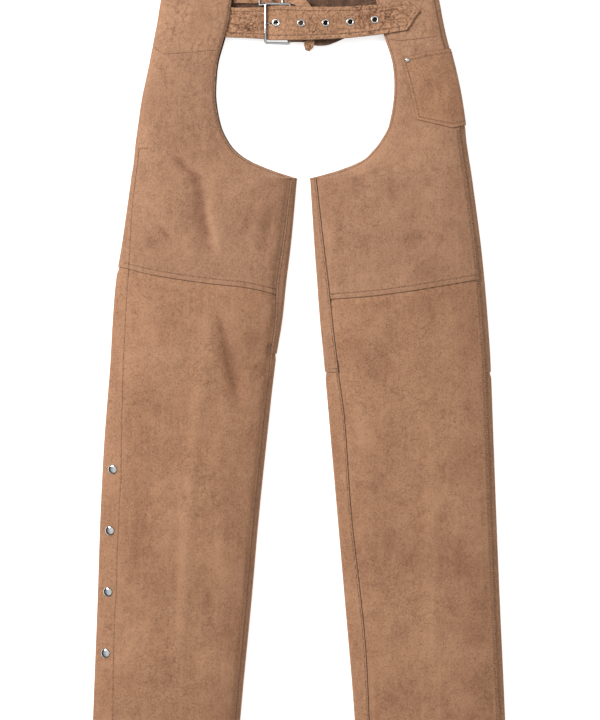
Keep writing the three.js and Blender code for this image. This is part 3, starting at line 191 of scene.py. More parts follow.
# Outline and height below the crotch: down, share of INSEAM; inner, share of LEG_SPREAD; width, share of
# THIGH_WIDTH; crown, share of CROWN.
RIGHT_LENGTH = [
    Length(0.0, 0.0, 1.0, 0.9),
    Length(0.11, 0.095, 1.019, 1.0),
    Length(0.18, 0.177, 1.028, 1.05),
    Length(0.25, 0.248, 1.022, 1.05),
    Length(0.32, 0.357, 0.996, 1.0),
    Length(0.46, 0.508, 0.979, 0.95),
    Length(0.6, 0.645, 0.954, 0.92),
    Length(0.74, 0.762, 0.928, 0.9),
    Length(0.88, 0.892, 0.9, 0.88),
    Length(1.0, 0.995, 0.879, 0.86),
]
LEFT_LENGTH = [
    Length(0.0, 0.0, 0.977, 0.9),
    Length(0.11, 0.067, 1.003, 1.0),
    Length(0.18, 0.117, 1.01, 1.05),
    Length(0.25, 0.167, 1.012, 1.05),
    Length(0.32, 0.233, 1.004, 1.0),
    Length(0.46, 0.35, 0.98, 0.95),
    Length(0.6, 0.467, 0.956, 0.92),
    Length(0.74, 0.583, 0.934, 0.9),
    Length(0.88, 0.7, 0.914, 0.88),
    Length(1.0, 0.783, 0.902, 0.86),
]

# Hips above the crotch: up, share of RISE; cut, share of half CUTOUT_WIDTH; outer, share of THIGH_WIDTH;
# lift, share of FOLD_HEIGHT; crown, share of CROWN.
RIGHT_HIP = [
    Hip(0.0, 0.072, 1.0, 1.0, 0.9),
    Hip(0.01, 0.139, 0.999, 0.9, 0.88),
    Hip(0.042, 0.34, 0.992, 0.62, 0.8),
    Hip(0.095, 0.607, 0.984, 0.4, 0.7),
    Hip(0.147, 0.763, 0.978, 0.34, 0.62),
    Hip(0.2, 0.852, 0.972, 0.3, 0.56),
    Hip(0.279, 0.93, 0.959, 0.3, 0.5),
    Hip(0.42, 0.985, 0.936, 0.32, 0.44),
    Hip(0.52, 0.982, 0.912, 0.45, 0.4),
    Hip(0.62, 0.958, 0.888, 0.72, 0.38),
    Hip(0.73, 0.893, 0.864, 1.0, 0.36),
    Hip(0.83, 0.835, 0.842, 1.06, 0.34),
    Hip(0.93, 0.805, 0.824, 1.08, 0.32),
    Hip(1.0, 0.785, 0.81, 1.08, 0.3),
]
LEFT_HIP = [
    Hip(0.0, 0.072, 0.977, 1.0, 0.9),
    Hip(0.01, 0.15, 0.975, 0.9, 0.88),
    Hip(0.042, 0.384, 0.97, 0.62, 0.8),
    Hip(0.095, 0.651, 0.96, 0.4, 0.7),
    Hip(0.147, 0.774, 0.951, 0.34, 0.62),
    Hip(0.2, 0.863, 0.942, 0.3, 0.56),
    Hip(0.279, 0.953, 0.933, 0.3, 0.5),
    Hip(0.42, 1.01, 0.91, 0.32, 0.44),
    Hip(0.52, 1.015, 0.888, 0.45, 0.4),
    Hip(0.62, 0.99, 0.861, 0.72, 0.38),
    Hip(0.73, 0.915, 0.828, 1.0, 0.36),
    Hip(0.83, 0.85, 0.803, 1.06, 0.34),
    Hip(0.93, 0.815, 0.782, 1.08, 0.32),
    Hip(1.0, 0.79, 0.765, 1.08, 0.3),
]
RIGHT_KNEE = [
    Knee(0.0, 0.155), Knee(0.15, 0.166), Knee(0.3, 0.174), Knee(0.55, 0.184), Knee(0.8, 0.192),
    Knee(1.0, 0.205),
]
LEFT_KNEE = [Knee(0.0, 0.176), Knee(0.25, 0.188), Knee(0.45, 0.197), Knee(0.7, 0.206), Knee(1.0, 0.212)]
RIGHT_STRIP = [
    Strip(0.0, 0.11), Strip(0.18, 0.16), Strip(0.24, 0.13), Strip(0.31, 0.1), Strip(0.36, 0.085),
    Strip(1.0, 0.08),
]
LEFT_STRIP = [
    Strip(0.0, 0.105), Strip(0.21, 0.2), Strip(0.34, 0.226), Strip(0.42, 0.26), Strip(0.59, 0.235),
    Strip(0.79, 0.28), Strip(1.0, 0.22),
]

# Main folds, whose depth is a share of FOLD_HEIGHT and width a share of THIGH_WIDTH, and finer creases.
RIGHT_FOLDS = [
    Fold(0.37, 0.52, -0.04, 0.15, -0.36, 0.055),
    Fold(0.45, 0.6, -0.02, 0.15, 0.24, 0.06),
    Fold(0.88, 0.87, 0.05, 0.14, -0.24, 0.05),
    Fold(0.6, 0.86, 0.22, 0.42, -0.26, 0.05),
    Fold(0.56, 0.57, 0.2, 0.92, 0.2, 0.045),
]
LEFT_FOLDS = [
    Fold(0.36, 0.46, 0.42, 0.9, 0.2, 0.05),
    Fold(0.3, 0.42, 0.03, 0.13, -0.18, 0.08),
    Fold(0.52, 0.72, 0.24, 0.36, -0.18, 0.07),
    Fold(0.72, 0.66, 0.5, 0.66, -0.16, 0.07),
]
RIGHT_CREASES = [
    Fold(0.36, 0.43, -0.035, 0.035, -0.07, 0.025),
    Fold(0.42, 0.56, 0.02, 0.15, -0.08, 0.024),
    Fold(0.47, 0.62, 0.035, 0.15, 0.1, 0.022),
    Fold(0.62, 0.8, 0.23, 0.38, -0.1, 0.016),
    Fold(0.2, 0.26, 0.085, 0.102, -0.12, 0.012),
    Fold(0.91, 0.97, 0.195, 0.23, -0.14, 0.016),
    Fold(0.97, 0.985, 0.23, 0.27, -0.12, 0.014),
    Fold(0.1, 0.32, -0.2, -0.16, -0.08, 0.02),
    Fold(0.78, 0.7, 0.02, 0.12, -0.08, 0.03),
    Fold(0.14, 0.3, 0.2, 0.33, 0.07, 0.04),
    Fold(0.3, 0.2, 0.5, 0.72, -0.07, 0.05),
    Fold(0.75, 0.84, 0.55, 0.8, 0.07, 0.05),
]
LEFT_CREASES = [
    Fold(0.05, 0.2, -0.24, -0.235, -0.1, 0.016),
    Fold(0.82, 0.9, 0.03, 0.14, -0.07, 0.035),
    Fold(0.15, 0.1, 0.22, 0.4, -0.07, 0.04),
    Fold(0.86, 0.8, 0.3, 0.5, 0.06, 0.04),
    Fold(0.2, 0.3, 0.6, 0.8, -0.06, 0.05),
    Fold(0.55, 0.75, -0.05, 0.02, -0.08, 0.04),
]
RIGHT = Leg(
    "right", -1, RIGHT_LENGTH, RIGHT_HIP, RIGHT_KNEE, RIGHT_STRIP, RIGHT_FOLDS, RIGHT_CREASES,
    0.18, 0.306, 1.5, True,
)
LEFT = Leg(
    "left", 1, LEFT_LENGTH, LEFT_HIP, LEFT_KNEE, LEFT_STRIP, LEFT_FOLDS, LEFT_CREASES,
    0.196, 0.338, -1.2, False,
)

BELT_COURSE = [
    Course(-1.12, 0.826, 0.9),
    Course(-0.81, 0.824, 0.9),
    Course(-0.45, 0.82, 0.96),
    Course(-0.37, 0.821, 1.04),
    Course(0.04, 0.817, 1.0),
    Course(0.44, 0.821, 0.96),
    Course(0.885, 0.838, 0.91),
    Course(1.15, 0.855, 0.885),
]
BUCKLE_STRAP_COURSE = [
    Sag(-0.15, 0.045), Sag(0.03, 0.06), Sag(0.14, 0.15), Sag(0.26, 0.14),
    Sag(0.36, 0.05), Sag(0.5, -0.1), Sag(0.8, -0.2), Sag(1.2, -0.26),
]
BACK_STRAP_COURSE = [
    Tail(-0.78, 0.955, 0), Tail(-0.56, 0.955, 0), Tail(-0.43, 0.955, 0), Tail(-0.382, 0.955, 0),
    Tail(-0.352, 0.955, 0), Tail(-0.304, 0.955, 0), Tail(-0.22, 0.955, -3), Tail(-0.12, 0.95, -18),
    Tail(-0.02, 0.925, -42), Tail(0.045, 0.885, -66), Tail(0.075, 0.84, -80), Tail(0.078, 0.78, -92),
    Tail(0.068, 0.725, -98), Tail(0.045, 0.674, -106),
]

# The frame's origin, from the back yoke, whose middle is the middle line and whose top is the back's.
YOKE_LOW, YOKE_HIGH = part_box("back_yoke")
ORIGIN = np.array([500 * (YOKE_LOW.x + YOKE_HIGH.x), 1000 * YOKE_HIGH.y - RISE - BACK_RISE, 0.0])


def framed(points):
    """Points round the crotch in millimetres, as places in the frame in metres."""
    return (np.asarray(points, float) + ORIGIN) / 1000


def mix(start, end, share):
    return start + (end - start) * share


def ease(value, start, end):
    share = np.clip((value - start) / (end - start), 0, 1)
    return share * share * (3 - 2 * share)


def along(table, key, value, column):
    """A smooth value between the rows of a table."""
    return through([getattr(row, key) for row in table], [getattr(row, column) for row in table], value)


def through(keys, data, value):
    """A smooth value between some data, each with its key."""
    keys, data = np.array(keys, float), np.array(data, float)
    before = np.maximum(np.arange(len(keys)) - 1, 0)
    after = np.minimum(np.arange(len(keys)) + 1, len(keys) - 1)
    slopes = (data[after] - data[before]) / (keys[after] - keys[before])
    at = np.clip(value, keys[0], keys[-1])
    index = np.clip(np.searchsorted(keys, at) - 1, 0, len(keys) - 2)
    run = keys[index + 1] - keys[index]
    t = (at - keys[index]) / run
    rise = data[index + 1] - data[index]
    bend = t * (1 - t) * ((1 - t) * (slopes[index] * run - rise) - t * (slopes[index + 1] * run - rise))
    return data[index] + rise * t + bend


def outline(leg, y):
    """Edges from the middle line to the inside of the leather, lift, crown and inner fold radius at height
    y."""
    y = np.asarray(y, float)
    above = y > 0
    up, down = y / RISE, -y / INSEAM
    edge = CROTCH_GAP / 2 + LEG_SPREAD * along(leg.length, "down", down, "inner")
    outer = np.where(
        above,
        CROTCH_GAP / 2 + THIGH_WIDTH * along(leg.hip, "up", up, "outer"),
        edge + THIGH_WIDTH * along(leg.length, "down", down, "width"),
    )
    inner = np.where(above, HALF_CUTOUT * along(leg.hip, "up", up, "cut"), edge + LEATHER)
    lift = np.where(above, FOLD_HEIGHT * along(leg.hip, "up", up, "lift"), FOLD_HEIGHT)
    hip_crown, leg_crown = along(leg.hip, "up", up, "crown"), along(leg.length, "down", down, "crown")
    crown = CROWN * np.where(above, hip_crown, leg_crown)
    return outer - LEATHER, inner, lift, crown, np.where(above, 0.0, FOLD_RADIUS)


def folds_at(folds, across, y):
    """How far a table of folds raises or lowers the front."""
    total = 0.0
    for fold in folds:
        start_x, start_y = fold.across_from * THIGH_WIDTH, -fold.down_from * INSEAM
        run_x = fold.across_to * THIGH_WIDTH - start_x
        run_y = -fold.down_to * INSEAM - start_y
        length = math.hypot(run_x, run_y)
        off_x, off_y = across * THIGH_WIDTH - start_x, y - start_y
        travelled = (off_x * run_x + off_y * run_y) / length
        aside = (off_x * run_y - off_y * run_x) / length
        ends = ease(travelled, -STEP_RUN, 0.25 * length) * ease(length - travelled, -STEP_RUN, 0.25 * length)
        total = total + fold.depth * FOLD_HEIGHT * ends * np.exp(-((aside / (fold.width * THIGH_WIDTH)) ** 2))
    return total * ease(across, 0.05, 0.2) * ease(across, 0.98, 0.86)


def pocket_raise(leg, inward, y):
    """How far the pocket that is turned under the left hip holds the leather up."""
    if leg.front_wraps:
        return 0.0
    low = RISE - POCKET_RISE - POCKET_DEPTH - POCKET_POINT - GAP
    high = RISE - POCKET_RISE + POCKET_SLANT + GAP
    in_height = ease(y, low - 2 * LAP, low) * ease(y, high + 2 * LAP, high)
    return LAYER * in_height * ease(inward, 3 * POCKET_BACK_WIDTH, 1.7 * POCKET_BACK_WIDTH)


def leg_section(leg, turn_round, y):
    """A place on the leg's inner face, and its normal. turn_round runs 0 to 1 over the front from the outer
    side, 1 to 2 round the inner fold, 2 to 3 along the back, and 3 to 4 round the outer fold."""
    turn_round, y = np.broadcast_arrays(np.asarray(turn_round, float), np.asarray(y, float))
    outer, inner, lift, crown, turn = outline(leg, y)
    width = outer - inner
    turned = np.mod(turn_round, 4)
    middle = LEATHER + FOLD_RADIUS
    run = width - FOLD_RADIUS - turn
    loss = CROTCH_GAP / 2 + LEATHER + FOLD_RADIUS - HALF_CUTOUT * leg.hip[0].cut
    shorter = np.where(y > 0, loss * (1 - ease(y, 0, 2 * STEP_RUN)), 0)

    def height(place):
        share = np.minimum(place * run / (run - shorter), 1)
        arch = 1 - (2 * share - 1) ** 4
        return LEATHER + mix(FOLD_HEIGHT, lift, share) + crown * arch + folds_at(leg.folds, share, y)

    tilt = (height(turned + 0.01) - height(turned - 0.01)) / (0.02 * run)
    inner_angle, outer_angle = (turned - 1) * math.pi, (turned - 3) * math.pi
    cut_edge = np.where(turn > 0, width - turn, width + leg.back_peek)
    cases = [turned <= 1, turned < 2, turned <= 3]
    inward = np.select(
        cases,
        [
            FOLD_RADIUS + run * turned,
            width - turn + turn * np.sin(inner_angle),
            mix(cut_edge, FOLD_RADIUS, turned - 2),
        ],
        FOLD_RADIUS - FOLD_RADIUS * np.sin(outer_angle),
    )
    z = np.select(
        cases,
        [height(turned), middle + FOLD_RADIUS * np.cos(inner_angle), LEATHER + 0 * turned],
        middle - FOLD_RADIUS * np.cos(outer_angle),
    )
    on_front = (turned > 0.001) & (turned < 0.999)
    sloped = np.where(on_front, -tilt, 0)
    normal_in = np.select(cases, [sloped, np.sin(inner_angle), 0 * turned], -np.sin(outer_angle))
    normal_up = np.select(cases, [1 + 0 * turned, np.cos(inner_angle), -1 + 0 * turned], -np.cos(outer_angle))
    size = np.hypot(normal_in, normal_up)
    x = leg.side * (outer - inward)
    return x, z + pocket_raise(leg, inward, y), -leg.side * normal_in / size, normal_up / size


def across_of(turn_round):
    turned = np.mod(turn_round, 4)
    return np.select([turned <= 1, turned < 2, turned <= 3], [turned, 1 + 0 * turned, 3 - turned], 0.0)


def row_height(leg, row, turn_round, is_back):
    """Rows follow the knee seam near the knee, and rise to the middle of the back at the waist."""
    across = across_of(turn_round)
    knee = -leg.knee_down * INSEAM
    near_knee = ease(np.abs(row - knee), KNEE_SPREAD, 2 * STEP_RUN)
    seam = -INSEAM * along(leg.knee, "across", across, "down")
    on_back = is_back * ((turn_round >= 2) & (turn_round <= 3))
    back_lift = on_back * BACK_RISE * across * ease(row, 0.6 * RISE, RISE)
    return row + near_knee * (seam - knee) + back_lift


def lapped(row, seam):
    return ease(row, seam - STEP_RUN, seam) * ease(row, seam + LAP + STEP_RUN, seam + LAP)


def front_span(leg, y):
    """The outside of the front at height y, how far it runs between its folds, and the inner fold's
    radius."""
    outer, inner, _, _, turn = outline(leg, y)
    return outer, outer - inner - FOLD_RADIUS - turn, turn


def strip_edge(leg, y):
    """Where the strip's edge lies round the leg, and how far one millimetre goes there."""
    _, run, turn = front_span(leg, y)
    strip = LEG_SPREAD * along(leg.strip, "down", -y / INSEAM, "strip")
    return 1 - np.maximum(strip - LEATHER - turn, 1) / run, 1 / run


def front_columns(leg, y, row):
    """Places round the leg of the front's main columns, and how far each lies in under a neighbour."""
    edge, millimetre = strip_edge(leg, y)
    back_seam = lapped(row, -leg.back_knee_down * INSEAM)
    above = y > 0
    end = np.where(above, 1, 1 - millimetre)
    reach = np.where(above, 1, edge)
    tuck = np.where(above, 0, 1 + back_seam)
    step_start = reach - STEP_RUN * millimetre
    zero = 0 * millimetre
    inside = [(step_start * share, zero) for share in (0.23, 0.34, 0.45, 0.56, 0.67, 0.78, 0.89)]
    inner_margin = [(step_start, zero), (np.where(above, mix(step_start, 1, 0.5), edge), tuck), (end, tuck)]
    if not leg.front_wraps:
        outer_margin = [(inset * millimetre, zero) for inset in (SIDE_SEAM, SIDE_SEAM + LAP)]
        return [*outer_margin, *inside, *inner_margin]
    placket = (PLACKET_WIDTH - FOLD_RADIUS) * millimetre
    outer_margin = [
        (-1 - LAP * millimetre, 1 + back_seam),
        (zero - 1, 1 + back_seam),
        (zero - 0.75, 0.6 * (1 + back_seam)),
        (zero - 0.5, zero),
        (zero - 0.25, zero),
        (zero, zero),
        (0.5 * placket, zero),
        (placket, zero),
    ]
    return [*outer_margin, *inside, *inner_margin]


def back_columns(leg, y, row):
    """Places of the back's main columns, from the strip's edge round the inner fold and along the back, and
    on the left leg round the outer fold and in under the front."""
    edge, _ = strip_edge(leg, np.minimum(y, 0))
    _, millimetre = strip_edge(leg, y)
    zero = 0 * millimetre
    columns = [(edge, zero)] + [(zero + at, zero) for at in (1, 1.25, 1.5, 1.75, 2, 2.35, 2.7)]
    if leg.front_wraps:
        return [*columns, (3 - millimetre, zero)]
    margin = 1 + lapped(row, -leg.knee_down * INSEAM)
    folded = [(zero + 3, zero), (zero + 3.25, zero), (zero + 3.5, zero), (zero + 3.75, 0.6 * margin)]
    return [*columns, *folded, (zero + 4, margin), (4 + (SIDE_SEAM + LAP) * millimetre, margin)]


def at_column(columns, u):
    """Interpolates a list of columns at the column numbers u, along the last axis."""
    rounds = np.stack([place for place, _ in columns], -1)
    unders = np.stack([under + 0 * columns[0][0] for _, under in columns], -1)
    low = np.minimum(np.floor(u).astype(int), len(columns) - 2)
    share = u - low
    grid = np.broadcast_to(low, rounds.shape[:-1])[..., None]

    def pick(values, index):
        return np.take_along_axis(values, index, -1)[..., 0]

    place = mix(pick(rounds, grid), pick(rounds, grid + 1), share)
    under = mix(pick(unders, grid), pick(unders, grid + 1), share * share * (3 - 2 * share))
    return place, under


def clouds(x, y, size, octaves, seed):
    """Smooth noise of about -1 to 1 over the garment, with features about size millimetres across."""
    x, y = np.broadcast_arrays(x, y)
    flat = np.empty(x.size)
    for index, (px, py) in enumerate(zip(x.ravel(), y.ravel())):
        flat[index] = noise.fractal(Vector((px / size, py / size, seed)), 0.9, 2.1, octaves)
    return flat.reshape(x.shape)


def wrinkles(x, y, size, seed):
    """Rounded pads of leather about size millimetres across, at 0.25, and the narrow creases between, at
    -1."""
    bend = 0.35 * size * clouds(x, y, 1.5 * size, 2, seed)
    lines = np.abs(clouds(x + bend, y - bend, size, 2, seed + 5))
    return 0.25 - 1.25 * np.exp(-((lines / 0.1) ** 2))


def ridges(x, y, size, seed):
    """Raised wrinkles about size millimetres apart, each with a dent beside it."""
    bend = 0.4 * size * clouds(x, y, 2 * size, 2, seed)
    value = clouds(x + bend, y + bend, size, 2, seed + 5)
    return np.exp(-((value / 0.16) ** 2)) - 0.75 * np.exp(-(((value - 0.27) / 0.14) ** 2)) - 0.15


def creased_net(x, y, size, seed):
    """Crumpled leather: -0.7 in the creases of a warped net about size millimetres wide, 0.3 on the pads
    between."""
    x, y = np.broadcast_arrays(x, y)
    bend_x, bend_y = (0.5 * size * clouds(x, y, 1.8 * size, 2, seed + part) for part in (0, 3))
    u, v = (x + bend_x) / size, (y + bend_y) / size
    nearer, farther = np.full(u.shape, 9.0), np.full(u.shape, 9.0)
    for step_x in (-1, 0, 1):
        for step_y in (-1, 0, 1):
            column, row = np.floor(u) + step_x, np.floor(v) + step_y
            angle = 127.1 * column + 311.7 * row + seed
            pad_x = column + np.mod(437.5 * np.sin(angle), 1)
            pad_y = row + np.mod(917.3 * np.cos(angle), 1)
            gap = np.hypot(pad_x - u, pad_y - v)
            farther = np.minimum(farther, np.maximum(nearer, gap))
            nearer = np.minimum(nearer, gap)
    return ease(farther - nearer, 0, 0.3) - 0.7


def nearest(places, x, y):
    """Distance from each x and y to the nearest of some places, up to what counts as far."""
    tree = kdtree.KDTree(len(places))
    for number, (place_x, place_y) in enumerate(places):
        tree.insert((place_x, place_y, 0), number)
    tree.balance()
    x, y = np.broadcast_arrays(x, y)
    gaps = [tree.find((px, py, 0))[2] for px, py in zip(x.ravel().tolist(), y.ravel().tolist())]
    return np.minimum(np.array(gaps).reshape(x.shape), FAR)


def cutout_edge(leg, inset=0.0):
    """Places along the cutout's edge, or along a line at an even distance inside it."""
    y = np.linspace(0, RISE, 700)
    x = HALF_CUTOUT * along(leg.hip, "up", y / RISE, "cut")
    run_x, run_y = np.gradient(x), np.gradient(y)
    length = np.hypot(run_x, run_y)
    x, y = x + inset * run_y / length, y - inset * run_x / length
    return np.stack([leg.side * x, y], -1)


def snap_heights():
    return [-INSEAM + SNAPS_FROM_HEM + SNAP_PITCH * place for place in reversed(range(SNAP_COUNT))]


def hand_shift(leg, turn_round, y):
    """How far the leather's own waves, creases and puckers raise the front above the part's smooth form."""
    across = np.clip(np.mod(turn_round + 1, 4) - 1, 0, 1)
    on_front = np.mod(turn_round, 4) <= 1
    fade = on_front * ease(across, 0.0, 0.07) * ease(across, 1.0, 0.95)
    outer, run, _ = front_span(leg, y)
    x = leg.side * (outer - FOLD_RADIUS - run * across)
    seed = 3.0 if leg.front_wraps else 11.0
    waves = 0.8 * clouds(x, y, 75, 3, seed) + 0.3 * clouds(x, y, 17, 3, seed + 20)
    creased = np.clip(0.45 + 0.9 * clouds(x, y, 110, 2, seed + 40), 0.1, 1)
    waves = waves + creased * (0.3 * wrinkles(x, y, 22, seed + 60) + 0.35 * ridges(x, y, 30, seed + 80))
    fine = folds_at(leg.creases, across, y)
    seam = -INSEAM * along(leg.knee, "across", across, "down")
    from_seam = np.abs(y - seam)
    pucker = 0.22 * np.sin(x / 2.1 + 2 * np.sin(x / 17)) * np.exp(-((from_seam / 9) ** 2))
    edge, millimetre = strip_edge(leg, y)
    from_edge = np.abs(np.where(y > 0, 1, edge) - across) / millimetre
    ripple = 0.2 * np.sin(y / 2.6 + 2 * np.sin(y / 23)) * np.exp(-((from_edge / 8) ** 2))
    near_belt = ease(y, 0.66 * RISE, 0.74 * RISE)
    calm = np.ones_like(x)
    if leg.front_wraps:
        for height in snap_heights():
            far = np.hypot(across * run + FOLD_RADIUS - SNAP_FROM_EDGE, y - height)
            calm = calm * ease(far, 6, 22)
    return fade * (waves + fine + pucker + ripple) * (1 - 0.7 * near_belt) * calm


def hip_crumple_shade(leg, across, y):
    """Painted shade and highlight of crumpled leather at the top of a hip, which the geometry doesn't have.
    """
    outer, inner, _, _, turn = outline(leg, y)
    x = leg.side * mix(outer, inner + turn, across)
    # worn: how strongly the crumples show here, which sets the strength of their painted shade and highlight.
    worn = np.clip(0.5 + 1.2 * clouds(x, y, 45, 2, 31.0), 0, 1)
    return worn * (2.0 * creased_net(x, y, 13, 23.0) + 1.4 * creased_net(x, y, 8, 29.0) + 0.9)


def leg_faces(leg, turn_round, y, lifted):
    """The two faces of a sheet on the leg, the inner one lifted above the leg's inner face."""
    x, z, normal_x, normal_z = leg_section(leg, turn_round, y)
    y = np.broadcast_to(y, x.shape)

    def face(height):
        return np.stack([x + normal_x * height, y, z + normal_z * height], -1)

    return face(lifted), face(lifted + LEATHER)


def spaced(stations, step, dense=(), close=0.6):
    """Positions from the first to the last station about step apart, with one close to each end."""
    start, end = stations
    count = max(2, round((end - start) / step))
    places = list(np.linspace(start, end, count + 1)) + [start + close, end - close]
    for low, high, pitch in dense:
        places += list(np.arange(max(low, start), min(high, end), pitch))
    places = sorted(places)
    return np.array([places[0]] + [b for a, b in zip(places, places[1:]) if b - a > 0.35 * close])


def column_numbers(columns_at, leg, step):
    """Column numbers that cut a panel's main columns into steps of about step millimetres."""
    row = np.array(-0.45 * INSEAM)
    columns = columns_at(leg, row, row)
    numbers = [0.0]
    for index in range(len(columns) - 1):
        rounds = np.linspace(float(columns[index][0]), float(columns[index + 1][0]), 5)
        x, z, _, _ = leg_section(leg, rounds, row)
        length = np.hypot(np.diff(x), np.diff(z)).sum()
        count = max(1, round(length / step))
        numbers += list(index + np.arange(1, count + 1) / count)
    first, last = 0.15 * numbers[1], 0.15 * (numbers[-1] - numbers[-2])
    return np.array([0.0, first, *numbers[1:-1], numbers[-1] - last, numbers[-1]])


def taper_edges(inside, outside, share=0.28):
    """Rounds the free edges of a sheet by thinning its outermost rows and columns."""
    middle = 0.5 * (inside + outside)
    for line in (np.s_[0], np.s_[-1], np.s_[:, 0], np.s_[:, -1]):
        inside[line] = mix(inside[line], middle[line], share)
        outside[line] = mix(outside[line], middle[line], share)


def sheet_object(name, inside, outside, keep, fields):
    """A closed leather sheet over a lattice of points, with one float attribute for each field."""
    rows, columns = inside.shape[:2]
    points = np.stack([inside, outside], axis=2).reshape(-1, 3)
    corner = 2 * (np.arange(rows)[:, None] * columns + np.arange(columns)[None, :])
    kept = np.ones((rows - 1, columns - 1), bool) if keep is None else keep
    ring = [corner[:-1, :-1], corner[:-1, 1:], corner[1:, 1:], corner[1:, :-1]]
    around = np.pad(kept, 1)
    missing = [~around[:-2, 1:-1], ~around[1:-1, 2:], ~around[2:, 1:-1], ~around[1:-1, :-2]]
    top = np.stack([place[kept] + 1 for place in ring], -1)
    bottom = np.stack([ring[index][kept] for index in (0, 3, 2, 1)], -1)
    walls = []
    for side in range(4):
        free = kept & missing[side]
        start, end = ring[side][free], ring[(side + 1) % 4][free]
        walls.append(np.stack([start, end, end + 1, start + 1], -1))
    faces = np.concatenate([top, bottom, *walls])
    on_flesh = np.arange(len(faces)) >= len(top)
    corners = points[faces]
    volume = np.einsum("ij,ij->", corners[:, 0], np.cross(corners[:, 1], corners[:, 2]))
    volume += np.einsum("ij,ij->", corners[:, 0], np.cross(corners[:, 2], corners[:, 3]))
    if volume < 0:
        faces = faces[:, ::-1]
    used, faces = np.unique(faces, return_inverse=True)
    mesh = bpy.data.meshes.new(name)
    mesh.from_pydata(framed(points[used]).tolist(), [], faces.reshape(-1, 4).tolist())
    for title, values in fields.items():
        layer = mesh.attributes.new(title, "FLOAT", "POINT")
        doubled = np.repeat(np.broadcast_to(values, (rows, columns)).ravel(), 2)
        layer.data.foreach_set("value", doubled[used].astype(np.float32))
    mesh.polygons.foreach_set("material_index", on_flesh.astype(int))
    obj = bpy.data.objects.new(name, mesh)
    bpy.context.scene.collection.objects.link(obj)
    smooth(obj, 50)
    return obj


def deselect():
    for other in bpy.context.view_layer.objects:
        other.select_set(False)


def only(obj):
    """Selects one object alone and makes it active."""
    deselect()
    obj.select_set(True)
    bpy.context.view_layer.objects.active = obj


def apply_place():
    bpy.ops.object.transform_apply(location=True, rotation=True, scale=True)


def edit_all():
    bpy.ops.object.mode_set(mode="EDIT")
    bpy.ops.mesh.select_all(action="SELECT")


def close_up(doubles):
    """Merges points nearer than doubles in metres, turns all faces outward and leaves edit mode."""
    bpy.ops.mesh.select_all(action="SELECT")
    if doubles:
        bpy.ops.mesh.remove_doubles(threshold=doubles)
    bpy.ops.mesh.normals_make_consistent(inside=False)
    bpy.ops.object.mode_set(mode="OBJECT")


def smooth(obj, degrees):
    only(obj)
    bpy.ops.object.shade_smooth_by_angle(angle=math.radians(degrees))


def dress(obj, *materials):
    for material in materials:
        obj.data.materials.append(material)


def cut_size(inside, keep):
    """Widest girth, longest length and area of a lattice in metres, as the sheet was cut."""
    across = np.linalg.norm(np.diff(inside, axis=1), axis=-1).sum(1).max()
    down = np.linalg.norm(np.diff(inside, axis=0), axis=-1).sum(0).max()
    side_u, side_v = inside[:-1, 1:] - inside[:-1, :-1], inside[1:, :-1] - inside[:-1, :-1]
    cells = np.linalg.norm(np.cross(side_u, side_v), axis=-1)
    return across / 1000, down / 1000, float((cells if keep is None else cells[keep]).sum()) / 1e6


def lay_sheet(node_name, inside, outside, keep, fields, rests_on, slot, materials):
    """Makes a leather sheet, gives it its materials and its body, and hides the part that it stands for. Its
    flat size is worked out but not kept."""
    obj = sheet_object(f"{node_name}_leather", inside, outside, keep, fields)
    dress(obj, *materials)
    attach(obj, "root")
    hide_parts(node_name)
    width, length, area = cut_size(inside, keep)
    flat = (round(width, 3), round(length, 3))
    area = min(round(min(area, width * length), 4), flat[0] * flat[1])


def plain_fields(like):
    """The fields of a sheet whose edges and stitches aren't shaded."""
    return {"edge_gap": FAR + 0 * like, "stitch_gap": FAR + 0 * like, "relief": 0 * like}


def between(grid):
    """The middles of the cells of a lattice."""
    return 0.25 * (grid[1:, 1:] + grid[:-1, 1:] + grid[1:, :-1] + grid[:-1, :-1])


# Distances of the stitch lines from the edges, and the share of its pitch that a stitch shows
KNEE_STITCH = 7.5
EDGE_STITCH = 3.75
STRIP_STITCH = 2.4
POCKET_STITCH = 5.0
BELT_STITCH = 7.0
STITCH_SHARE = 0.72

# Stitch lines on the hips and the placket, which follow no edge, as places round the crotch
Place = namedtuple("Place", "x y")
PLACKET_LINE = [
    Place(-252.0, 44.0), Place(-246.5, 42.0), Place(-248.5, 25.0), Place(-251.3, 3.0), Place(-257.3, -48.0),
    Place(-261.0, -123.0), Place(-264.8, -180.0), Place(-269.3, -268.5), Place(-272.3, -366.0),
    Place(-273.0, -450.0), Place(-276.0, -489.0), Place(-277.2, -531.0), Place(-279.0, -560.0),
    Place(-279.8, -613.5), Place(-283.4, -673.5), Place(-285.0, -750.0), Place(-286.5, -861.0),
]
PLACKET_TOP = [Place(-250.5, 44.5), Place(-233.0, 44.5)]
RIGHT_HIP_LINE = [
    Place(-227.0, 196.5), Place(-218.0, 192.0), Place(-209.0, 186.0), Place(-192.5, 187.0),
    Place(-163.0, 189.5),
    Place(-146.0, 191.3), Place(-132.5, 192.0),
]
LEFT_HIP_LINE = [Place(129.5, 208.5), Place(145.0, 206.0), Place(172.0, 209.0), Place(199.0, 213.0)]


def smoothed(places):
    """Places about 2 mm apart along a short table of places."""
    xs, ys = (np.array([getattr(place, name) for place in places], float) for name in ("x", "y"))
    travelled = np.concatenate([[0], np.cumsum(np.hypot(np.diff(xs), np.diff(ys)))])
    fine = np.linspace(0, travelled[-1], max(2, int(travelled[-1] / 2)))
    return np.stack([np.interp(fine, travelled, xs), np.interp(fine, travelled, ys)], -1)


def on_leg(leg, rounds, ys):
    return np.stack([leg_section(leg, rounds, ys)[0], ys], -1)


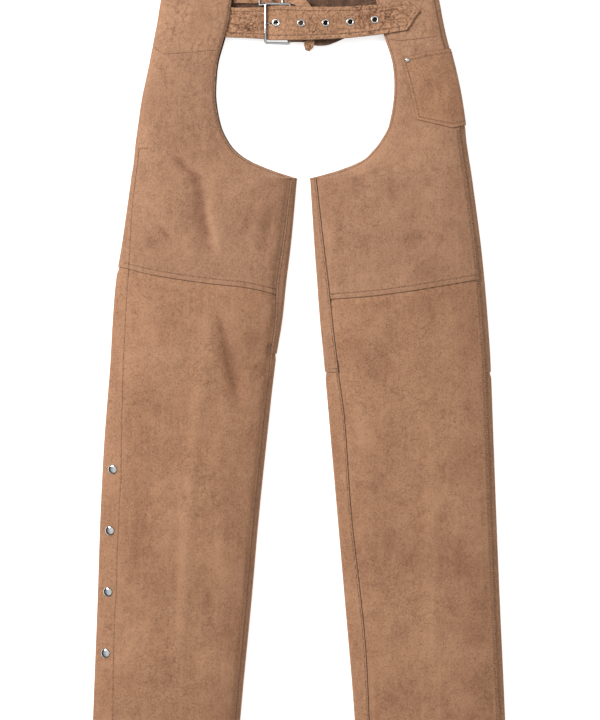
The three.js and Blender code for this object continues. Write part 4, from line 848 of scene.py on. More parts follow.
def stitch_lines(leg):
    """Every topstitched line of a leg's fronts, as rows of x and y."""
    shares = np.linspace(0.015, 0.99, 160)
    y = -INSEAM * along(leg.knee, "across", shares, "down") + KNEE_STITCH
    edge, millimetre = strip_edge(leg, y)
    inside = shares < edge - 1.2 * millimetre
    lines = [on_leg(leg, shares[inside], y[inside])]
    cutout = cutout_edge(leg, EDGE_STITCH)
    lines.append(cutout[(cutout[:, 1] > 2) & (cutout[:, 1] < RISE - 2)])
    y = np.linspace(-INSEAM + 3, -3, 420)
    edge, millimetre = strip_edge(leg, y)
    lines.append(on_leg(leg, edge + STRIP_STITCH * millimetre, y))
    back_knee = -leg.back_knee_down * INSEAM
    edge, millimetre = (float(value) for value in strip_edge(leg, np.array(back_knee)))
    lines.append(on_leg(leg, np.linspace(edge + 1.5 * millimetre, 1.0, 12), np.full(12, back_knee + 5)))
    if leg.front_wraps:
        return [*lines, smoothed(PLACKET_LINE), smoothed(PLACKET_TOP), smoothed(RIGHT_HIP_LINE)]
    for inset in (SIDE_SEAM + 1.2, SIDE_SEAM + 4.2):
        y = np.linspace(-INSEAM + 3, RISE - POCKET_RISE - POCKET_DEPTH - POCKET_POINT - 4, 420)
        lines.append(on_leg(leg, inset * strip_edge(leg, y)[1], y))
    return [*lines, smoothed(LEFT_HIP_LINE)]


def leg_seams(leg, sewing):
    """The seams along a leg's stitch lines."""
    seams = []
    for line in stitch_lines(leg):
        x, y = line.T
        outer, run, _ = front_span(leg, y)
        rounds = (outer - leg.side * x - FOLD_RADIUS) / run
        seams.append(leg_seam(leg, rounds, y, LEATHER, sewing))
    return seams


def leg_panel(leg, start, end, is_back, seam):
    """The faces, kept cells and fields of one of a leg's four panels."""
    columns_at = back_columns if is_back else front_columns
    step = COARSE_STEP if is_back else FINE_STEP
    u = column_numbers(columns_at, leg, step)
    rows = spaced((start, end), step, [(-6, 16, 1.2)])[:, None]
    grid_row, grid_u = np.broadcast_arrays(rows, u[None, :])
    rough, _ = at_column(columns_at(leg, grid_row, grid_row), grid_u)
    y = row_height(leg, grid_row, rough, is_back)
    y = np.where(grid_row > 0, y, np.minimum(y, 0))
    place, under = at_column(columns_at(leg, y, grid_row), grid_u)
    tuck = 0.0 if seam is None else lapped(grid_row, seam)
    shift = hand_shift(leg, place, y)
    inside, outside = leg_faces(leg, place, y, shift - LAYER * (under + tuck))
    taper_edges(inside, outside)
    keep = None
    if is_back:
        middle_row = 0.5 * (rows[1:] + rows[:-1])
        middle_u = 0.5 * (u[1:] + u[:-1])
        keep = ~((middle_row > 0) & (middle_u[None, :] < 5))
    across = across_of(place)
    edge, millimetre = strip_edge(leg, y)
    on_front = np.mod(place, 4) <= 1
    x = leg_section(leg, place, y)[0]
    from_edge = nearest(cutout_edge(leg), x, y)
    from_strip = np.where(y < 0, np.abs(edge - across) / millimetre, FAR)
    from_seam = np.abs(y + INSEAM * along(leg.knee, "across", across, "down"))
    edge_gap = np.where(on_front, np.minimum(np.minimum(from_edge, from_strip), from_seam), FAR)
    lines = np.concatenate(stitch_lines(leg))
    stitch_gap = np.where(on_front, nearest(lines, x, y), FAR)
    # The relief field drives painted shade and highlight: the leather's own waves and creases, its main folds
    # again at 0.35 of their depth, and on the hips crumples that only the colour has.
    hip = on_front * ease(y, 0.45 * RISE, 0.8 * RISE)
    relief = shift + 0.35 * folds_at(leg.folds, across, y) * on_front + hip * hip_crumple_shade(leg, across, y)
    fields = {"edge_gap": edge_gap, "stitch_gap": stitch_gap, "relief": relief}
    return inside, outside, keep, fields


def pocket_height(girth, share):
    """Height of a place on the pocket, from its girth and its share of the pocket's height."""
    point = POCKET_POINT * (1 - np.abs(2 * girth - POCKET_FRONT - POCKET_BACK) / (POCKET_FRONT - POCKET_BACK))
    slant = np.minimum(POCKET_SLANT * (POCKET_FRONT - girth) / POCKET_FRONT, POCKET_SLANT)
    top = RISE - POCKET_RISE
    return mix(top - POCKET_DEPTH - point, top + slant, share)


def pocket_girth(girth, share):
    """The pocket's front edge leans in towards its lower end."""
    return np.where(girth > 0, girth * (1 - POCKET_TAPER * (1 - share) / POCKET_FRONT), girth)


def pocket_place(girth, share):
    """Where a place of the pocket lies round the left leg, and at what height."""
    y = pocket_height(girth, share)
    girth = pocket_girth(girth, share)
    turn_length = math.pi * FOLD_RADIUS
    run = front_span(LEFT, y)[1]
    beyond = -1 + (girth + turn_length) / (run + LEFT.back_peek)
    cases = [girth >= 0, girth >= -turn_length]
    turned = np.select(cases, [girth / run, girth / turn_length + 0 * run], beyond)
    return turned, y


def edge_underside(leg, y):
    return LEATHER + outline(leg, y)[2]


def front_top(leg, x, y):
    """Height of the upper face of a hip."""
    outer, run, _ = front_span(leg, y)
    share = np.clip((outer - leg.side * x - FOLD_RADIUS) / run, 0, 1)
    _, z, _, normal_z = leg_section(leg, share, y)
    return z + LEATHER / normal_z


def belt_low(x, y):
    """Height of the belt's underside. It is tucked under the right front, and lies on the left one."""
    x, y = np.broadcast_arrays(np.asarray(x, float), np.asarray(y, float))
    in_hip = edge_underside(RIGHT, y) - BELT_LIE - BELT_THICKNESS
    before = mix(in_hip, BELT_UNDER_BAR, ease(x, -0.8 * HALF_CUTOUT, BUCKLE_FRONT_X - WIRE_RADIUS))
    low = mix(before, BELT_OVER_HEEL, ease(x, BUCKLE_FRONT_X + WIRE_RADIUS, HEEL_BAR_X - WIRE_RADIUS))
    rise_x = 0.6 * HALF_CUTOUT
    hip_top = front_top(LEFT, BELT_TIP_X, BUCKLE_Y) + BELT_LIE
    raised = mix(low, hip_top, ease(x, rise_x, BELT_TIP_X))
    return np.where(x < rise_x, low, np.maximum(raised, front_top(LEFT, x, y) + BELT_LIE))


def belt_middle(x):
    return RISE * along(BELT_COURSE, "at", x / HALF_CUTOUT, "up")


def belt_width(x):
    return BELT_WIDTH * along(BELT_COURSE, "at", x / HALF_CUTOUT, "width")


def belt_shift(x, y):
    """Crumples of the belt's leather, strongest at both ends and calm round the buckle and the eyelets."""
    ends = 0.5 + 0.5 * np.maximum(ease(x, -62, -80), ease(x, 45, 95))
    nets = creased_net(x, 1.3 * y, 12, 7.0) + 0.6 * creased_net(x, y, 6.5, 17.0)
    crumples = nets + 0.4 * ridges(x, y, 15, 7.0)
    fine = clouds(x, y, 4.5, 2, 9.0)
    calm = np.ones_like(crumples)
    for centre in eyelet_places():
        calm = calm * ease(np.hypot(x - centre, y - belt_middle(centre)), 6, 10)
    calm = calm * ease(np.abs(x - BUCKLE_FRONT_X), 3, 8)
    return ends * calm * (0.9 * crumples + 0.2 * fine)


def eyelet_places():
    return [BUCKLE_FRONT_X + FIRST_EYELET + EYELET_PITCH * number for number in range(EYELET_COUNT)]


def buckle_strap_low(x, y):
    settled = ease(x, HEEL_BAR_X + WIRE_RADIUS, HEEL_BAR_X + 1.5 * LOOP_RETURN)
    rest = mix(BUCKLE_STRAP_LOW, BUCKLE_STRAP_REST, settled)
    in_hip = edge_underside(LEFT, y) - BELT_LIE - LEATHER
    return mix(rest, in_hip, ease(x, 0.45 * HALF_CUTOUT, 0.8 * HALF_CUTOUT))


def gather_share(x):
    return mix(0.25, 1, ease(np.abs(x - SLIDER_X), 0.7 * SLIDER_LENGTH, 1.1 * SLIDER_LENGTH))


def yoke_low(x):
    inside = ease(np.abs(x), 0.78 * HALF_CUTOUT, 0.6 * HALF_CUTOUT) * gather_share(x)
    gather = 0.5 * GATHER_HEIGHT * (1 - np.cos(2 * math.pi * x / GATHER_PITCH)) * inside
    lap_start = 0.76 * HALF_CUTOUT
    return gather + LAYER * ease(np.abs(x), lap_start - STEP_RUN, lap_start)


def yoke_top(x):
    return GATHER_HEIGHT * gather_share(x) + LEATHER + GAP


SLIDER_Z = float(yoke_top(np.array(SLIDER_X))) + LEATHER + GAP + SLIDER_WIRE / 2


def back_strap_low(at, up):
    x = at * HALF_CUTOUT
    over_bar = SLIDER_Z + SLIDER_WIRE / 2 + GAP
    near_bar = ease(np.abs(x - SLIDER_X), 0.22 * SLIDER_LENGTH, 0.06 * SLIDER_LENGTH)
    on_yoke = mix(yoke_top(x), over_bar, near_bar)
    over_loop = LOOP_RETURN_Z + LEATHER + GAP
    on_strap = BUCKLE_STRAP_REST + LEATHER + 2 * GAP
    tail = mix(over_loop, on_strap, ease(up, 0.86, 0.76))
    return mix(on_yoke, tail, ease(up, 0.953, 0.925))


# Seams

Seam = namedtuple("Seam", "points normals pitch radius")
RING_SIDES = 6
STITCH_SHAPE = ((0.0, -0.7, 0.6), (0.2, 0.45, 0.9), (0.5, 0.8, 1.0), (0.8, 0.45, 0.9), (1.0, -0.7, 0.6))


def leg_seam(leg, rounds, ys, layer, sewing):
    """A seam along places on a leg, on the face that is layer above its inner face."""
    x, z, normal_x, normal_z = leg_section(leg, rounds, ys)
    height = layer + hand_shift(leg, rounds, ys)
    points = np.stack([x + normal_x * height, ys, z + normal_z * height], -1)
    return Seam(points, np.stack([normal_x, 0 * normal_x, normal_z], -1), sewing.panel_pitch, sewing.thread)


def thread_and_holes(seams):
    """Vertices and faces of all the stitches of some seams, and of the dark cones at their ends that paint
    the shade of the needle holes.
    """
    angles = np.arange(RING_SIDES) * 2 * math.pi / RING_SIDES
    thread_points, hole_points = [], []
    for seam in seams:
        steps = np.linalg.norm(np.diff(seam.points, axis=0), axis=-1)
        travelled = np.concatenate([[0], np.cumsum(steps)])
        count = int(travelled[-1] / seam.pitch)
        middles = (np.arange(count) + 0.5) * travelled[-1] / max(count, 1)

        def spot(at, values):
            return np.stack([np.interp(at, travelled, values[:, axis]) for axis in range(3)], -1)

        half = 0.5 * seam.pitch * STITCH_SHARE
        first, last = spot(middles - half, seam.points), spot(middles + half, seam.points)
        centre = spot(middles, seam.points)
        up = spot(middles, seam.normals)
        ahead = last - first
        ahead = ahead / np.linalg.norm(ahead, axis=-1, keepdims=True)
        side = np.cross(up, ahead)
        side = side / np.linalg.norm(side, axis=-1, keepdims=True)
        up = np.cross(ahead, side)
        rings = []
        for share, lift, girth in STITCH_SHAPE:
            bend = 4 * share * (1 - share) * (centre - 0.5 * (first + last))
            on_path = mix(first, last, share) + bend
            ring_centre = on_path + up * lift * seam.radius
            for angle in angles:
                off = side * math.cos(angle) + up * math.sin(angle)
                rings.append(ring_centre + off * girth * seam.radius)
        thread_points.append(np.stack(rings, 1))
        reach = 0.5 * seam.pitch
        for place in (middles - reach, (middles + reach)[-1:]):
            hole = spot(place, seam.points)
            hole_up = spot(place, seam.normals)
            side_at = side if len(place) == len(side) else side[-1:]
            ahead_at = np.cross(side_at, hole_up)
            lens = [hole + 0.05 * hole_up]
            for angle in angles:
                off = side_at * math.cos(angle) + ahead_at * math.sin(angle)
                lens.append(hole + 1.5 * seam.radius * off - 0.02 * hole_up)
            lens.append(hole - 0.4 * hole_up)
            hole_points.append(np.stack(lens, 1))
    threads, holes = np.concatenate(thread_points), np.concatenate(hole_points)
    rings = len(STITCH_SHAPE)
    faces = []
    for ring in range(rings - 1):
        for side_index in range(RING_SIDES):
            after = (side_index + 1) % RING_SIDES
            low, high = ring * RING_SIDES, (ring + 1) * RING_SIDES
            faces.append((low + side_index, low + after, high + after, high + side_index))
    caps = [tuple(range(RING_SIDES))[::-1], tuple((rings - 1) * RING_SIDES + i for i in range(RING_SIDES))]
    lens_faces = []
    for index in range(RING_SIDES):
        after = (index + 1) % RING_SIDES
        lens_faces += [(0, 1 + index, 1 + after), (RING_SIDES + 1, 1 + after, 1 + index)]
    return repeated(threads, faces + caps), repeated(holes, lens_faces)


def repeated(points, faces):
    count, size = points.shape[:2]
    every = [tuple(corner + item * size for corner in face) for item in range(count) for face in faces]
    return points.reshape(-1, 3), every


def seam_objects(name, seams, colours):
    """The thread of a group of seams, and the dark cones that paint the shade of its needle holes."""
    looks = {"thread": sewing_thread(colours), "needle_holes": needle_hole()}
    for (part, look), (points, faces) in zip(looks.items(), thread_and_holes(seams)):
        mesh = bpy.data.meshes.new(f"{name}_{part}")
        mesh.from_pydata(framed(points).tolist(), [], faces)
        obj = bpy.data.objects.new(mesh.name, mesh)
        bpy.context.scene.collection.objects.link(obj)
        only(obj)
        edit_all()
        close_up(0)
        if part == "thread":
            smooth(obj, 60)
        dress(obj, look)
        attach(obj, "root")


# Materials

def linear(code):
    """An sRGB hex colour as linear red, green and blue."""
    parts = [int(code[index:index + 2], 16) / 255 for index in (0, 2, 4)]
    return [part / 12.92 if part <= 0.04045 else ((part + 0.055) / 1.055) ** 2.4 for part in parts]


def rgba(colour):
    return (*colour[:3], 1.0)


def node(tree, kind, settings=(), links=(), output=0):
    """Adds a node with its settings and the values or links of its inputs, and gives one of its outputs. The
    setting named stops is a colour ramp's: rows of a place and a grey value or colour."""
    made = tree.nodes.new(kind)
    for name, value in dict(settings).items():
        if name != "stops":
            setattr(made, name, value)
            continue
        elements = made.color_ramp.elements
        while len(elements) < len(value):
            elements.new(0.5)
        for element, (place, level) in zip(elements, value):
            element.position = place
            element.color = rgba(level) if hasattr(level, "__len__") else (level, level, level, 1)
    for name, value in dict(links).items():
        socket = made.inputs[name]
        if isinstance(value, bpy.types.NodeSocket):
            tree.links.new(value, socket)
        else:
            socket.default_value = value
    return made.outputs[output] if made.outputs else None


RAMP, MATH, RANGE, MIX = "ShaderNodeValToRGB", "ShaderNodeMath", "ShaderNodeMapRange", "ShaderNodeMix"
TIMES = {"operation": "MULTIPLY"}


def new_material(name):
    material = bpy.data.materials.get(name) or bpy.data.materials.new(name)
    material.use_nodes = True
    material.node_tree.nodes.clear()
    return material, material.node_tree


def surfaced(material, inputs):
    """Ends a material with the look of its surface."""
    shader = node(material.node_tree, "ShaderNodeBsdfPrincipled", {}, inputs)
    node(material.node_tree, "ShaderNodeOutputMaterial", {}, {"Surface": shader})
    return material


def object_noise(tree, size_mm, detail, rough, stretch=(1, 1, 1), turn=0.0, warp=0.0):
    """Noise on Object coordinates with features about size_mm millimetres across."""
    place = node(tree, "ShaderNodeTexCoord", output="Object")
    placed = {"Vector": place, "Rotation": (0, 0, turn), "Scale": stretch}
    turned = node(tree, "ShaderNodeMapping", {}, placed)
    return node(tree, "ShaderNodeTexNoise", {}, {
        "Vector": turned, "Scale": 1000 / size_mm, "Detail": detail, "Roughness": rough, "Distortion": warp,
    })


def clouded(tree, low, high, size_mm, detail, rough):
    """Patches of noise that go from one tone or level to another, each given with its place on the noise."""
    return node(tree, RAMP, {"stops": [low, high]}, {"Fac": object_noise(tree, size_mm, detail, rough)})


def field(tree, name, low, high, at_low, at_high):
    """A mesh attribute in millimetres, taken from one range to another and kept inside it."""
    value = node(tree, "ShaderNodeAttribute", {"attribute_name": name}, output="Fac")
    return node(tree, RANGE, {}, {0: value, 1: low, 2: high, 3: at_low, 4: at_high})


def crease_lines(tree, size_mm, width, detail, warp):
    """Thin winding lines about size_mm apart, 1 in the line and 0 beside it."""
    value = object_noise(tree, size_mm, detail, 0.5, warp=warp)
    centred = node(tree, MATH, {"operation": "SUBTRACT"}, {0: value, 1: 0.5})
    off = node(tree, MATH, {"operation": "ABSOLUTE"}, {0: centred})
    return node(tree, RANGE, {}, {0: off, 1: 0.0, 2: width, 3: 1.0, 4: 0.0})


def laid_over(tree, base, colour, *shares):
    """A colour laid over a base as far as all the shares together let it."""
    share = shares[0]
    for other in shares[1:]:
        share = node(tree, MATH, TIMES, {0: share, 1: other})
    return node(tree, MIX, {"data_type": "RGBA"}, {0: share, 6: base, 7: colour}, 2)


def brushed_leather(name, tones, crumple, grain):
    """Brushed cowhide: the grain side is sanded to a short nap, so it scatters light with hardly any gloss
    and is cloudy where the nap lies differently. Painted highlight pales its ridges and the leather beside
    seams and edges, painted shade darkens its creases, dents and stitch grooves, and a dark line runs along
    its cut edges and seams. The nap's fibres are about 0.1 mm apart. They are drawn grain millimetres apart,
    to show."""
    material, tree = new_material(name)
    light, middle, dark = (rgba(tone) for tone in tones)
    # deep: a darker tone for painted shade in hollows, creases and stitch grooves, and for the dark line
    # along cut edges and seams.
    deep = (dark[0] * 0.5, dark[1] * 0.45, dark[2] * 0.4, 1)
    patches = object_noise(tree, 16, 5, 0.68, warp=0.7)
    flecks = object_noise(tree, 3.8, 6, 0.85)
    streaks = object_noise(tree, 8, 4, 0.6, stretch=(1.0, 0.1, 1.0), turn=0.06, warp=0.2)
    scratches = [
        object_noise(tree, 2.0, 2, 0.6, stretch=(1.0, 0.08, 1.0), turn=turn, warp=0.3)
        for turn in (0.35, -0.8, 1.9)
    ]
    base = middle
    for pattern, bare, full, colour, share in (
        (object_noise(tree, 70, 4, 0.6, warp=0.5), 0.36, 0.64, light, 1.0),
        (patches, 0.54, 0.38, dark, 0.34),
        (flecks, 0.46, 0.58, light, 0.85),
        (object_noise(tree, 2.6, 5, 0.75), 0.5, 0.36, dark, 0.8),
        (streaks, 0.5, 0.68, light, 0.5),
        *((scratch, 0.64, 0.72, light, 0.42) for scratch in scratches),
    ):
        worn = node(tree, RAMP, {"stops": sorted([(bare, 0.0), (full, 1.0)])}, {"Fac": pattern})
        base = laid_over(tree, base, colour, worn, share)
    # Painted shade and highlight, laid softly over the tones: darker where the relief field is low, lighter
    # where it is high.
    raised = field(tree, "relief", -1.6, 1.6, 0.0, 1.0)
    shaded = node(tree, RAMP, {"stops": [(0.0, 0.28), (0.5, 0.5), (1.0, 0.7)]}, {"Fac": raised})
    soft = {"data_type": "RGBA", "blend_type": "SOFT_LIGHT"}
    base = node(tree, MIX, soft, {0: 0.85, 6: base, 7: shaded}, 2)
    # Thin winding crease lines, sunk in the bump and darkened below as painted shade.
    small = node(tree, MATH, TIMES, {0: crease_lines(tree, 9, 0.03, 1, 0.5), 1: 0.6})
    both = node(tree, MATH, {"operation": "MAXIMUM"}, {0: crease_lines(tree, 22, 0.016, 2, 0.6), 1: small})
    where = node(tree, RANGE, {}, {0: object_noise(tree, 60, 2, 0.5), 1: 0.42, 2: 0.62, 3: 0.15, 4: 1.0})
    creases = node(tree, MATH, TIMES, {0: both, 1: where})
    # A painted highlight on the leather beside a stitch line, broken up by the pucker clouds, and painted
    # shade in the stitch's groove.
    near_line = field(tree, "stitch_gap", 1.2, 6.0, 1.0, 0.0)
    groove = field(tree, "stitch_gap", 0.5, 2.0, 1.0, 0.0)
    pucker = clouded(tree, (0.42, 0.0), (0.6, 1.0), 4.2, 3, 0.6)
    # Painted shade in low relief and painted highlight on high relief, painted shade in the creases, painted
    # highlight beside the stitch lines, painted shade in their grooves, painted highlight beside the edges,
    # and a dark line along the cut edges and seams.
    for colour, *shares in (
        (deep, field(tree, "relief", -1.5, -0.4, 1.0, 0.0), crumple, 0.5),
        (light, field(tree, "relief", 0.15, 0.9, 0.0, 1.0), crumple, 0.8),
        (deep, creases, crumple),
        (light, near_line, pucker, 0.75),
        (deep, groove, 0.16),
        (light, field(tree, "edge_gap", 0.9, 2.8, 1.0, 0.0), pucker, 0.8),
        (deep, field(tree, "edge_gap", 0.1, 0.9, 1.0, 0.0), 0.6),
    ):
        base = laid_over(tree, base, colour, *shares)
    height = 0.0
    for pattern, share in (
        (object_noise(tree, grain, 4, 0.6), 0.45),
        (scratches[0], 0.12),
        (groove, -0.6),
        (node(tree, MATH, TIMES, {0: near_line, 1: pucker}), 0.5),
        (creases, -1.3 * crumple),
        (patches, 0.4),
    ):
        height = node(tree, MATH, {"operation": "MULTIPLY_ADD"}, {0: pattern, 1: share, 2: height})
    rough = node(tree, RANGE, {}, {0: flecks, 1: 0.3, 2: 0.7, 3: 0.9, 4: 0.66})
    return surfaced(material, {
        "Base Color": base, "Roughness": rough,
        "Normal": node(tree, "ShaderNodeBump", {}, {"Strength": 0.9, "Distance": 0.0007, "Height": height}),
        "IOR": 1.47, "Specular IOR Level": 0.35, "Sheen Weight": 0.08, "Sheen Roughness": 0.5,
    })


def flesh_side(colours):
    """The unfinished inner face of the hide: a dull, darker suede with a coarse nap and painted shade in thin
    crease lines.
    """
    material, tree = new_material("suede_flesh_side")
    tones = clouded(tree, (0.3, colours.inside_dark), (0.7, colours.inside_light), 14, 5, 0.7)
    # Painted shade in thin crease lines.
    creases = node(tree, MATH, {"operation": "MAXIMUM"}, {
        0: crease_lines(tree, 20, 0.05, 2, 0.8), 1: crease_lines(tree, 9, 0.06, 2, 0.6),
    })
    nap = object_noise(tree, 0.9, 3, 0.6)
    return surfaced(material, {
        "Base Color": laid_over(tree, tones, rgba(colours.inside_dark), creases, 0.7), "Roughness": 0.95,
        "Normal": node(tree, "ShaderNodeBump", {}, {"Strength": 0.8, "Distance": 0.0003, "Height": nap}),
        "IOR": 1.47, "Specular IOR Level": 0.2, "Sheen Weight": 0.25, "Sheen Roughness": 0.6,
    })


def sewing_thread(colours):
    """Bonded polyester thread, twisted from three plies: a satin thread a shade lighter than the leather."""
    material, tree = new_material("bonded_polyester_thread")
    tones = clouded(tree, (0.3, colours.thread_dark), (0.7, colours.thread_light), 7, 2, 0.5)
    return surfaced(material, {
        "Base Color": tones, "Roughness": 0.6, "IOR": 1.5, "Specular IOR Level": 0.4, "Sheen Weight": 0.1,
    })


def needle_hole():
    """Painted shade of a needle's hole: a small dark cone sunk into the leather where the needle went
    through.
    """
    material, tree = new_material("needle_hole_shade")
    tones = clouded(tree, (0.3, linear("2f1d13")), (0.7, linear("3f2a1d")), 6, 2, 0.5)
    return surfaced(material, {"Base Color": tones, "Roughness": 0.9, "IOR": 1.45, "Specular IOR Level": 0.1})


def plated_metal(name, colours):
    """Plated steel or brass: the plating is a mirror with faint wipe marks and a duller film in places."""
    material, tree = new_material(f"polished_{name}_plate")
    smoothest, roughest = PLATES[name]
    film = object_noise(tree, 3.5, 4, 0.6)
    wiped = object_noise(tree, 0.5, 2, 0.5, stretch=(1, 0.12, 1))
    filmed = node(tree, RAMP, {"stops": [(0.4, 0.0), (0.75, 0.5)]}, {"Fac": film})
    return surfaced(material, {
        "Base Color": laid_over(tree, rgba(getattr(colours, name)), rgba(colours.dull_film), filmed),
        "Metallic": 1.0,
        "Roughness": node(tree, RANGE, {}, {0: film, 1: 0.35, 2: 0.7, 3: smoothest, 4: roughest}),
        "Normal": node(tree, "ShaderNodeBump", {}, {"Strength": 0.08, "Distance": 0.00005, "Height": wiped}),
    })


def plain_floor():
    """White paper sweep, lit from below as well, so that it stays white in the photo."""
    material, tree = new_material("white_paper_sweep")
    tones = clouded(tree, (0.3, linear("f4f4f3")), (0.7, linear("fafaf9")), 2.0, 3, 0.5)
    return surfaced(material, {
        "Base Color": tones, "Roughness": 0.95, "IOR": 1.45,
        "Emission Color": tones, "Emission Strength": 0.62,
    })


# How rough each plating is, at its smoothest and in its film
PLATES = {"chrome": (0.05, 0.12), "nickel": (0.16, 0.3)}

# The leathers: their tones, how strongly their crumples and creases are painted in shade and highlight and
# bumped, and how far apart their nap is drawn, in millimetres
Look = namedtuple("Look", "material tones crumple grain")
LOOKS = {
    "thigh": Look("brushed_cowhide_thigh", "panel", 0.3, 1.3),
    "shin": Look("brushed_cowhide_shin", "shin", 0.3, 1.3),
    "pocket": Look("brushed_cowhide_pocket", "shin", 0.3, 1.3),
    "belt": Look("crumpled_cowhide_belt", "belt", 0.85, 1.9),
    "strap": Look("crumpled_cowhide_strap", "strap", 0.85, 1.9),
}


def both_sides(name, colours):
    """The grain side of a leather and the flesh side."""
    look = LOOKS[name]
    tones = [getattr(colours, f"{look.tones}_{shade}") for shade in ("light", "middle", "dark")]
    return brushed_leather(look.material, tones, look.crumple, look.grain), flesh_side(colours)


# Settings that a user would change

def tone(code, name, description):
    return bpy.props.FloatVectorProperty(
        name=name, description=description, default=linear(code), size=3, min=0.0, max=1.0, subtype="COLOR"
    )


class ChapsColours(bpy.types.PropertyGroup):
    # Each leather's pale tone also paints the highlight on its ridges and beside its seams and edges, and its
    # dark tone, darkened further, the shade in its creases, hollows and stitch grooves.
    panel_light: tone("ab8063", "Panel, pale", "Pale nap of the thigh panels")
    panel_middle: tone("9d7559", "Panel", "Main tone of the thigh panels")
    panel_dark: tone("7f593f", "Panel, dark", "Dark clouds of the thigh panels")
    shin_light: tone("ac8061", "Shin, pale", "Pale nap of the shin panels")
    shin_middle: tone("9b6f52", "Shin", "Main tone of the shin panels")
    shin_dark: tone("7d553b", "Shin, dark", "Dark clouds of the shin panels")
    belt_light: tone("b98c6b", "Belt, pale", "Ridges of the belt's crumpled leather")
    belt_middle: tone("8d6144", "Belt", "Main tone of the belt")
    belt_dark: tone("54301c", "Belt, dark", "Creases of the belt's leather")
    inside_light: tone("7a5843", "Inside, pale", "Pale nap of the flesh side")
    inside_dark: tone("4a3324", "Inside, dark", "Dark nap of the flesh side")
    thread_light: tone("a67c5f", "Thread, pale", "Lit side of the sewing thread")
    thread_dark: tone("7d5a42", "Thread, dark", "Shaded side of the sewing thread")
    chrome: tone("d2d4d7", "Chrome", "Plating of the buckle and the snaps")
    strap_light: tone("946b52", "Strap, pale", "Ridges of the buckle's own strap")
    strap_middle: tone("7b5640", "Strap", "Main tone of the buckle's own strap")
    strap_dark: tone("523524", "Strap, dark", "Creases of the buckle's own strap")
    nickel: tone("d3d2cd", "Nickel", "Plating of the eyelets, rivet and slider")
    dull_film: tone("a8a39b", "Dull film", "Film on the plating")


# The real stitches are 3.3 mm long. They are drawn longer, and their thread thicker, so that they show
class ChapsSewing(bpy.types.PropertyGroup):
    panel_pitch: bpy.props.FloatProperty(
        name="Stitch", description="Stitch length on the panels, in millimetres",
        default=3.8, min=2.0, max=8.0,
    )
    belt_pitch: bpy.props.FloatProperty(
        name="Belt stitch", description="Stitch length on the belt, in millimetres",
        default=5.2, min=2.0, max=10.0,
    )
    thread: bpy.props.FloatProperty(
        name="Thread", description="Half the thread's thickness, in millimetres",
        default=0.42, min=0.1, max=1.0,
    )


# Operators

class CHAPS_OT_panels(bpy.types.Operator):
    """Cuts and lays the eight leather panels of the legs"""

    bl_idname = "chaps.panels"
    bl_label = "Leg panels"

    def execute(self, context):
        colours = context.scene.chaps_colours
        thigh, shin = both_sides("thigh", colours), both_sides("shin", colours)
        for leg in (RIGHT, LEFT):
            knee, back_knee = -leg.knee_down * INSEAM, -leg.back_knee_down * INSEAM
            back_shin, back_thigh = f"{leg.name}_shin_back", f"{leg.name}_thigh_back"
            for name, start, end, is_back, seam, looks, rests_on in (
                (back_shin, -INSEAM, back_knee + LAP, True, back_knee, shin, []),
                (back_thigh, back_knee, RISE, True, None, thigh, []),
                (f"{leg.name}_shin_front", -INSEAM, knee + LAP, False, knee, shin, [back_shin]),
                (f"{leg.name}_thigh_front", knee, RISE, False, None, thigh, [back_thigh]),
            ):
                lay_sheet(name, *leg_panel(leg, start, end, is_back, seam), rests_on, "panel_leather", looks)
        return {"FINISHED"}


class CHAPS_OT_placket(bpy.types.Operator):
    """Lays the placket inside the right leg's outer margin"""

    bl_idname = "chaps.placket"
    bl_label = "Side placket"

    def execute(self, context):
        rows = spaced((-INSEAM, PLACKET_RISE), 4.0)[:, None]
        u = np.linspace(0, 3, 13)[None, :]

        def rounds(y):
            run = (PLACKET_WIDTH - FOLD_RADIUS) * strip_edge(RIGHT, y)[1]
            zero = 0 * run
            return at_column([(zero - 0.25, zero), (zero, zero), (0.5 * run, zero), (run, zero)], u[0])[0]

        grid_row = np.broadcast_to(rows, (len(rows), u.size))
        y = row_height(RIGHT, grid_row, rounds(grid_row), False)
        place = rounds(y)
        under = LAYER * (1 + lapped(grid_row, -RIGHT.knee_down * INSEAM))
        inside, outside = leg_faces(RIGHT, place, y, hand_shift(RIGHT, place, y) - under)
        taper_edges(inside, outside)
        lay_sheet(
            "right_side_placket", inside, outside, None, plain_fields(y), ["right_shin_back"],
            "panel_leather", both_sides("shin", context.scene.chaps_colours),
        )
        return {"FINISHED"}


class CHAPS_OT_pocket(bpy.types.Operator):
    """Lays the pointed pocket on the left hip and turns it round the fold"""

    bl_idname = "chaps.pocket"
    bl_label = "Hip pocket"

    def execute(self, context):
        girth = spaced((POCKET_BACK, POCKET_FRONT), 1.7)[::-1][None, :]
        shares = spaced((0, POCKET_DEPTH), 1.7)[:, None] / POCKET_DEPTH
        place, y = pocket_place(girth, shares)
        shift = hand_shift(LEFT, place, y)
        inside, outside = leg_faces(LEFT, place, y, LAYER + shift)
        taper_edges(inside, outside)
        from_side = np.minimum(POCKET_FRONT - girth, girth - POCKET_BACK)
        edge_gap = np.minimum(from_side, np.minimum(shares, 1 - shares) * POCKET_DEPTH)
        # The relief field sets painted shade and highlight from the leather's own waves.
        fields = {"edge_gap": edge_gap, "stitch_gap": np.abs(edge_gap - POCKET_STITCH), "relief": shift}
        lay_sheet(
            "left_hip_pocket", inside, outside, None, fields, ["left_thigh_front"], "panel_leather",
            both_sides("pocket", context.scene.chaps_colours),
        )
        return {"FINISHED"}


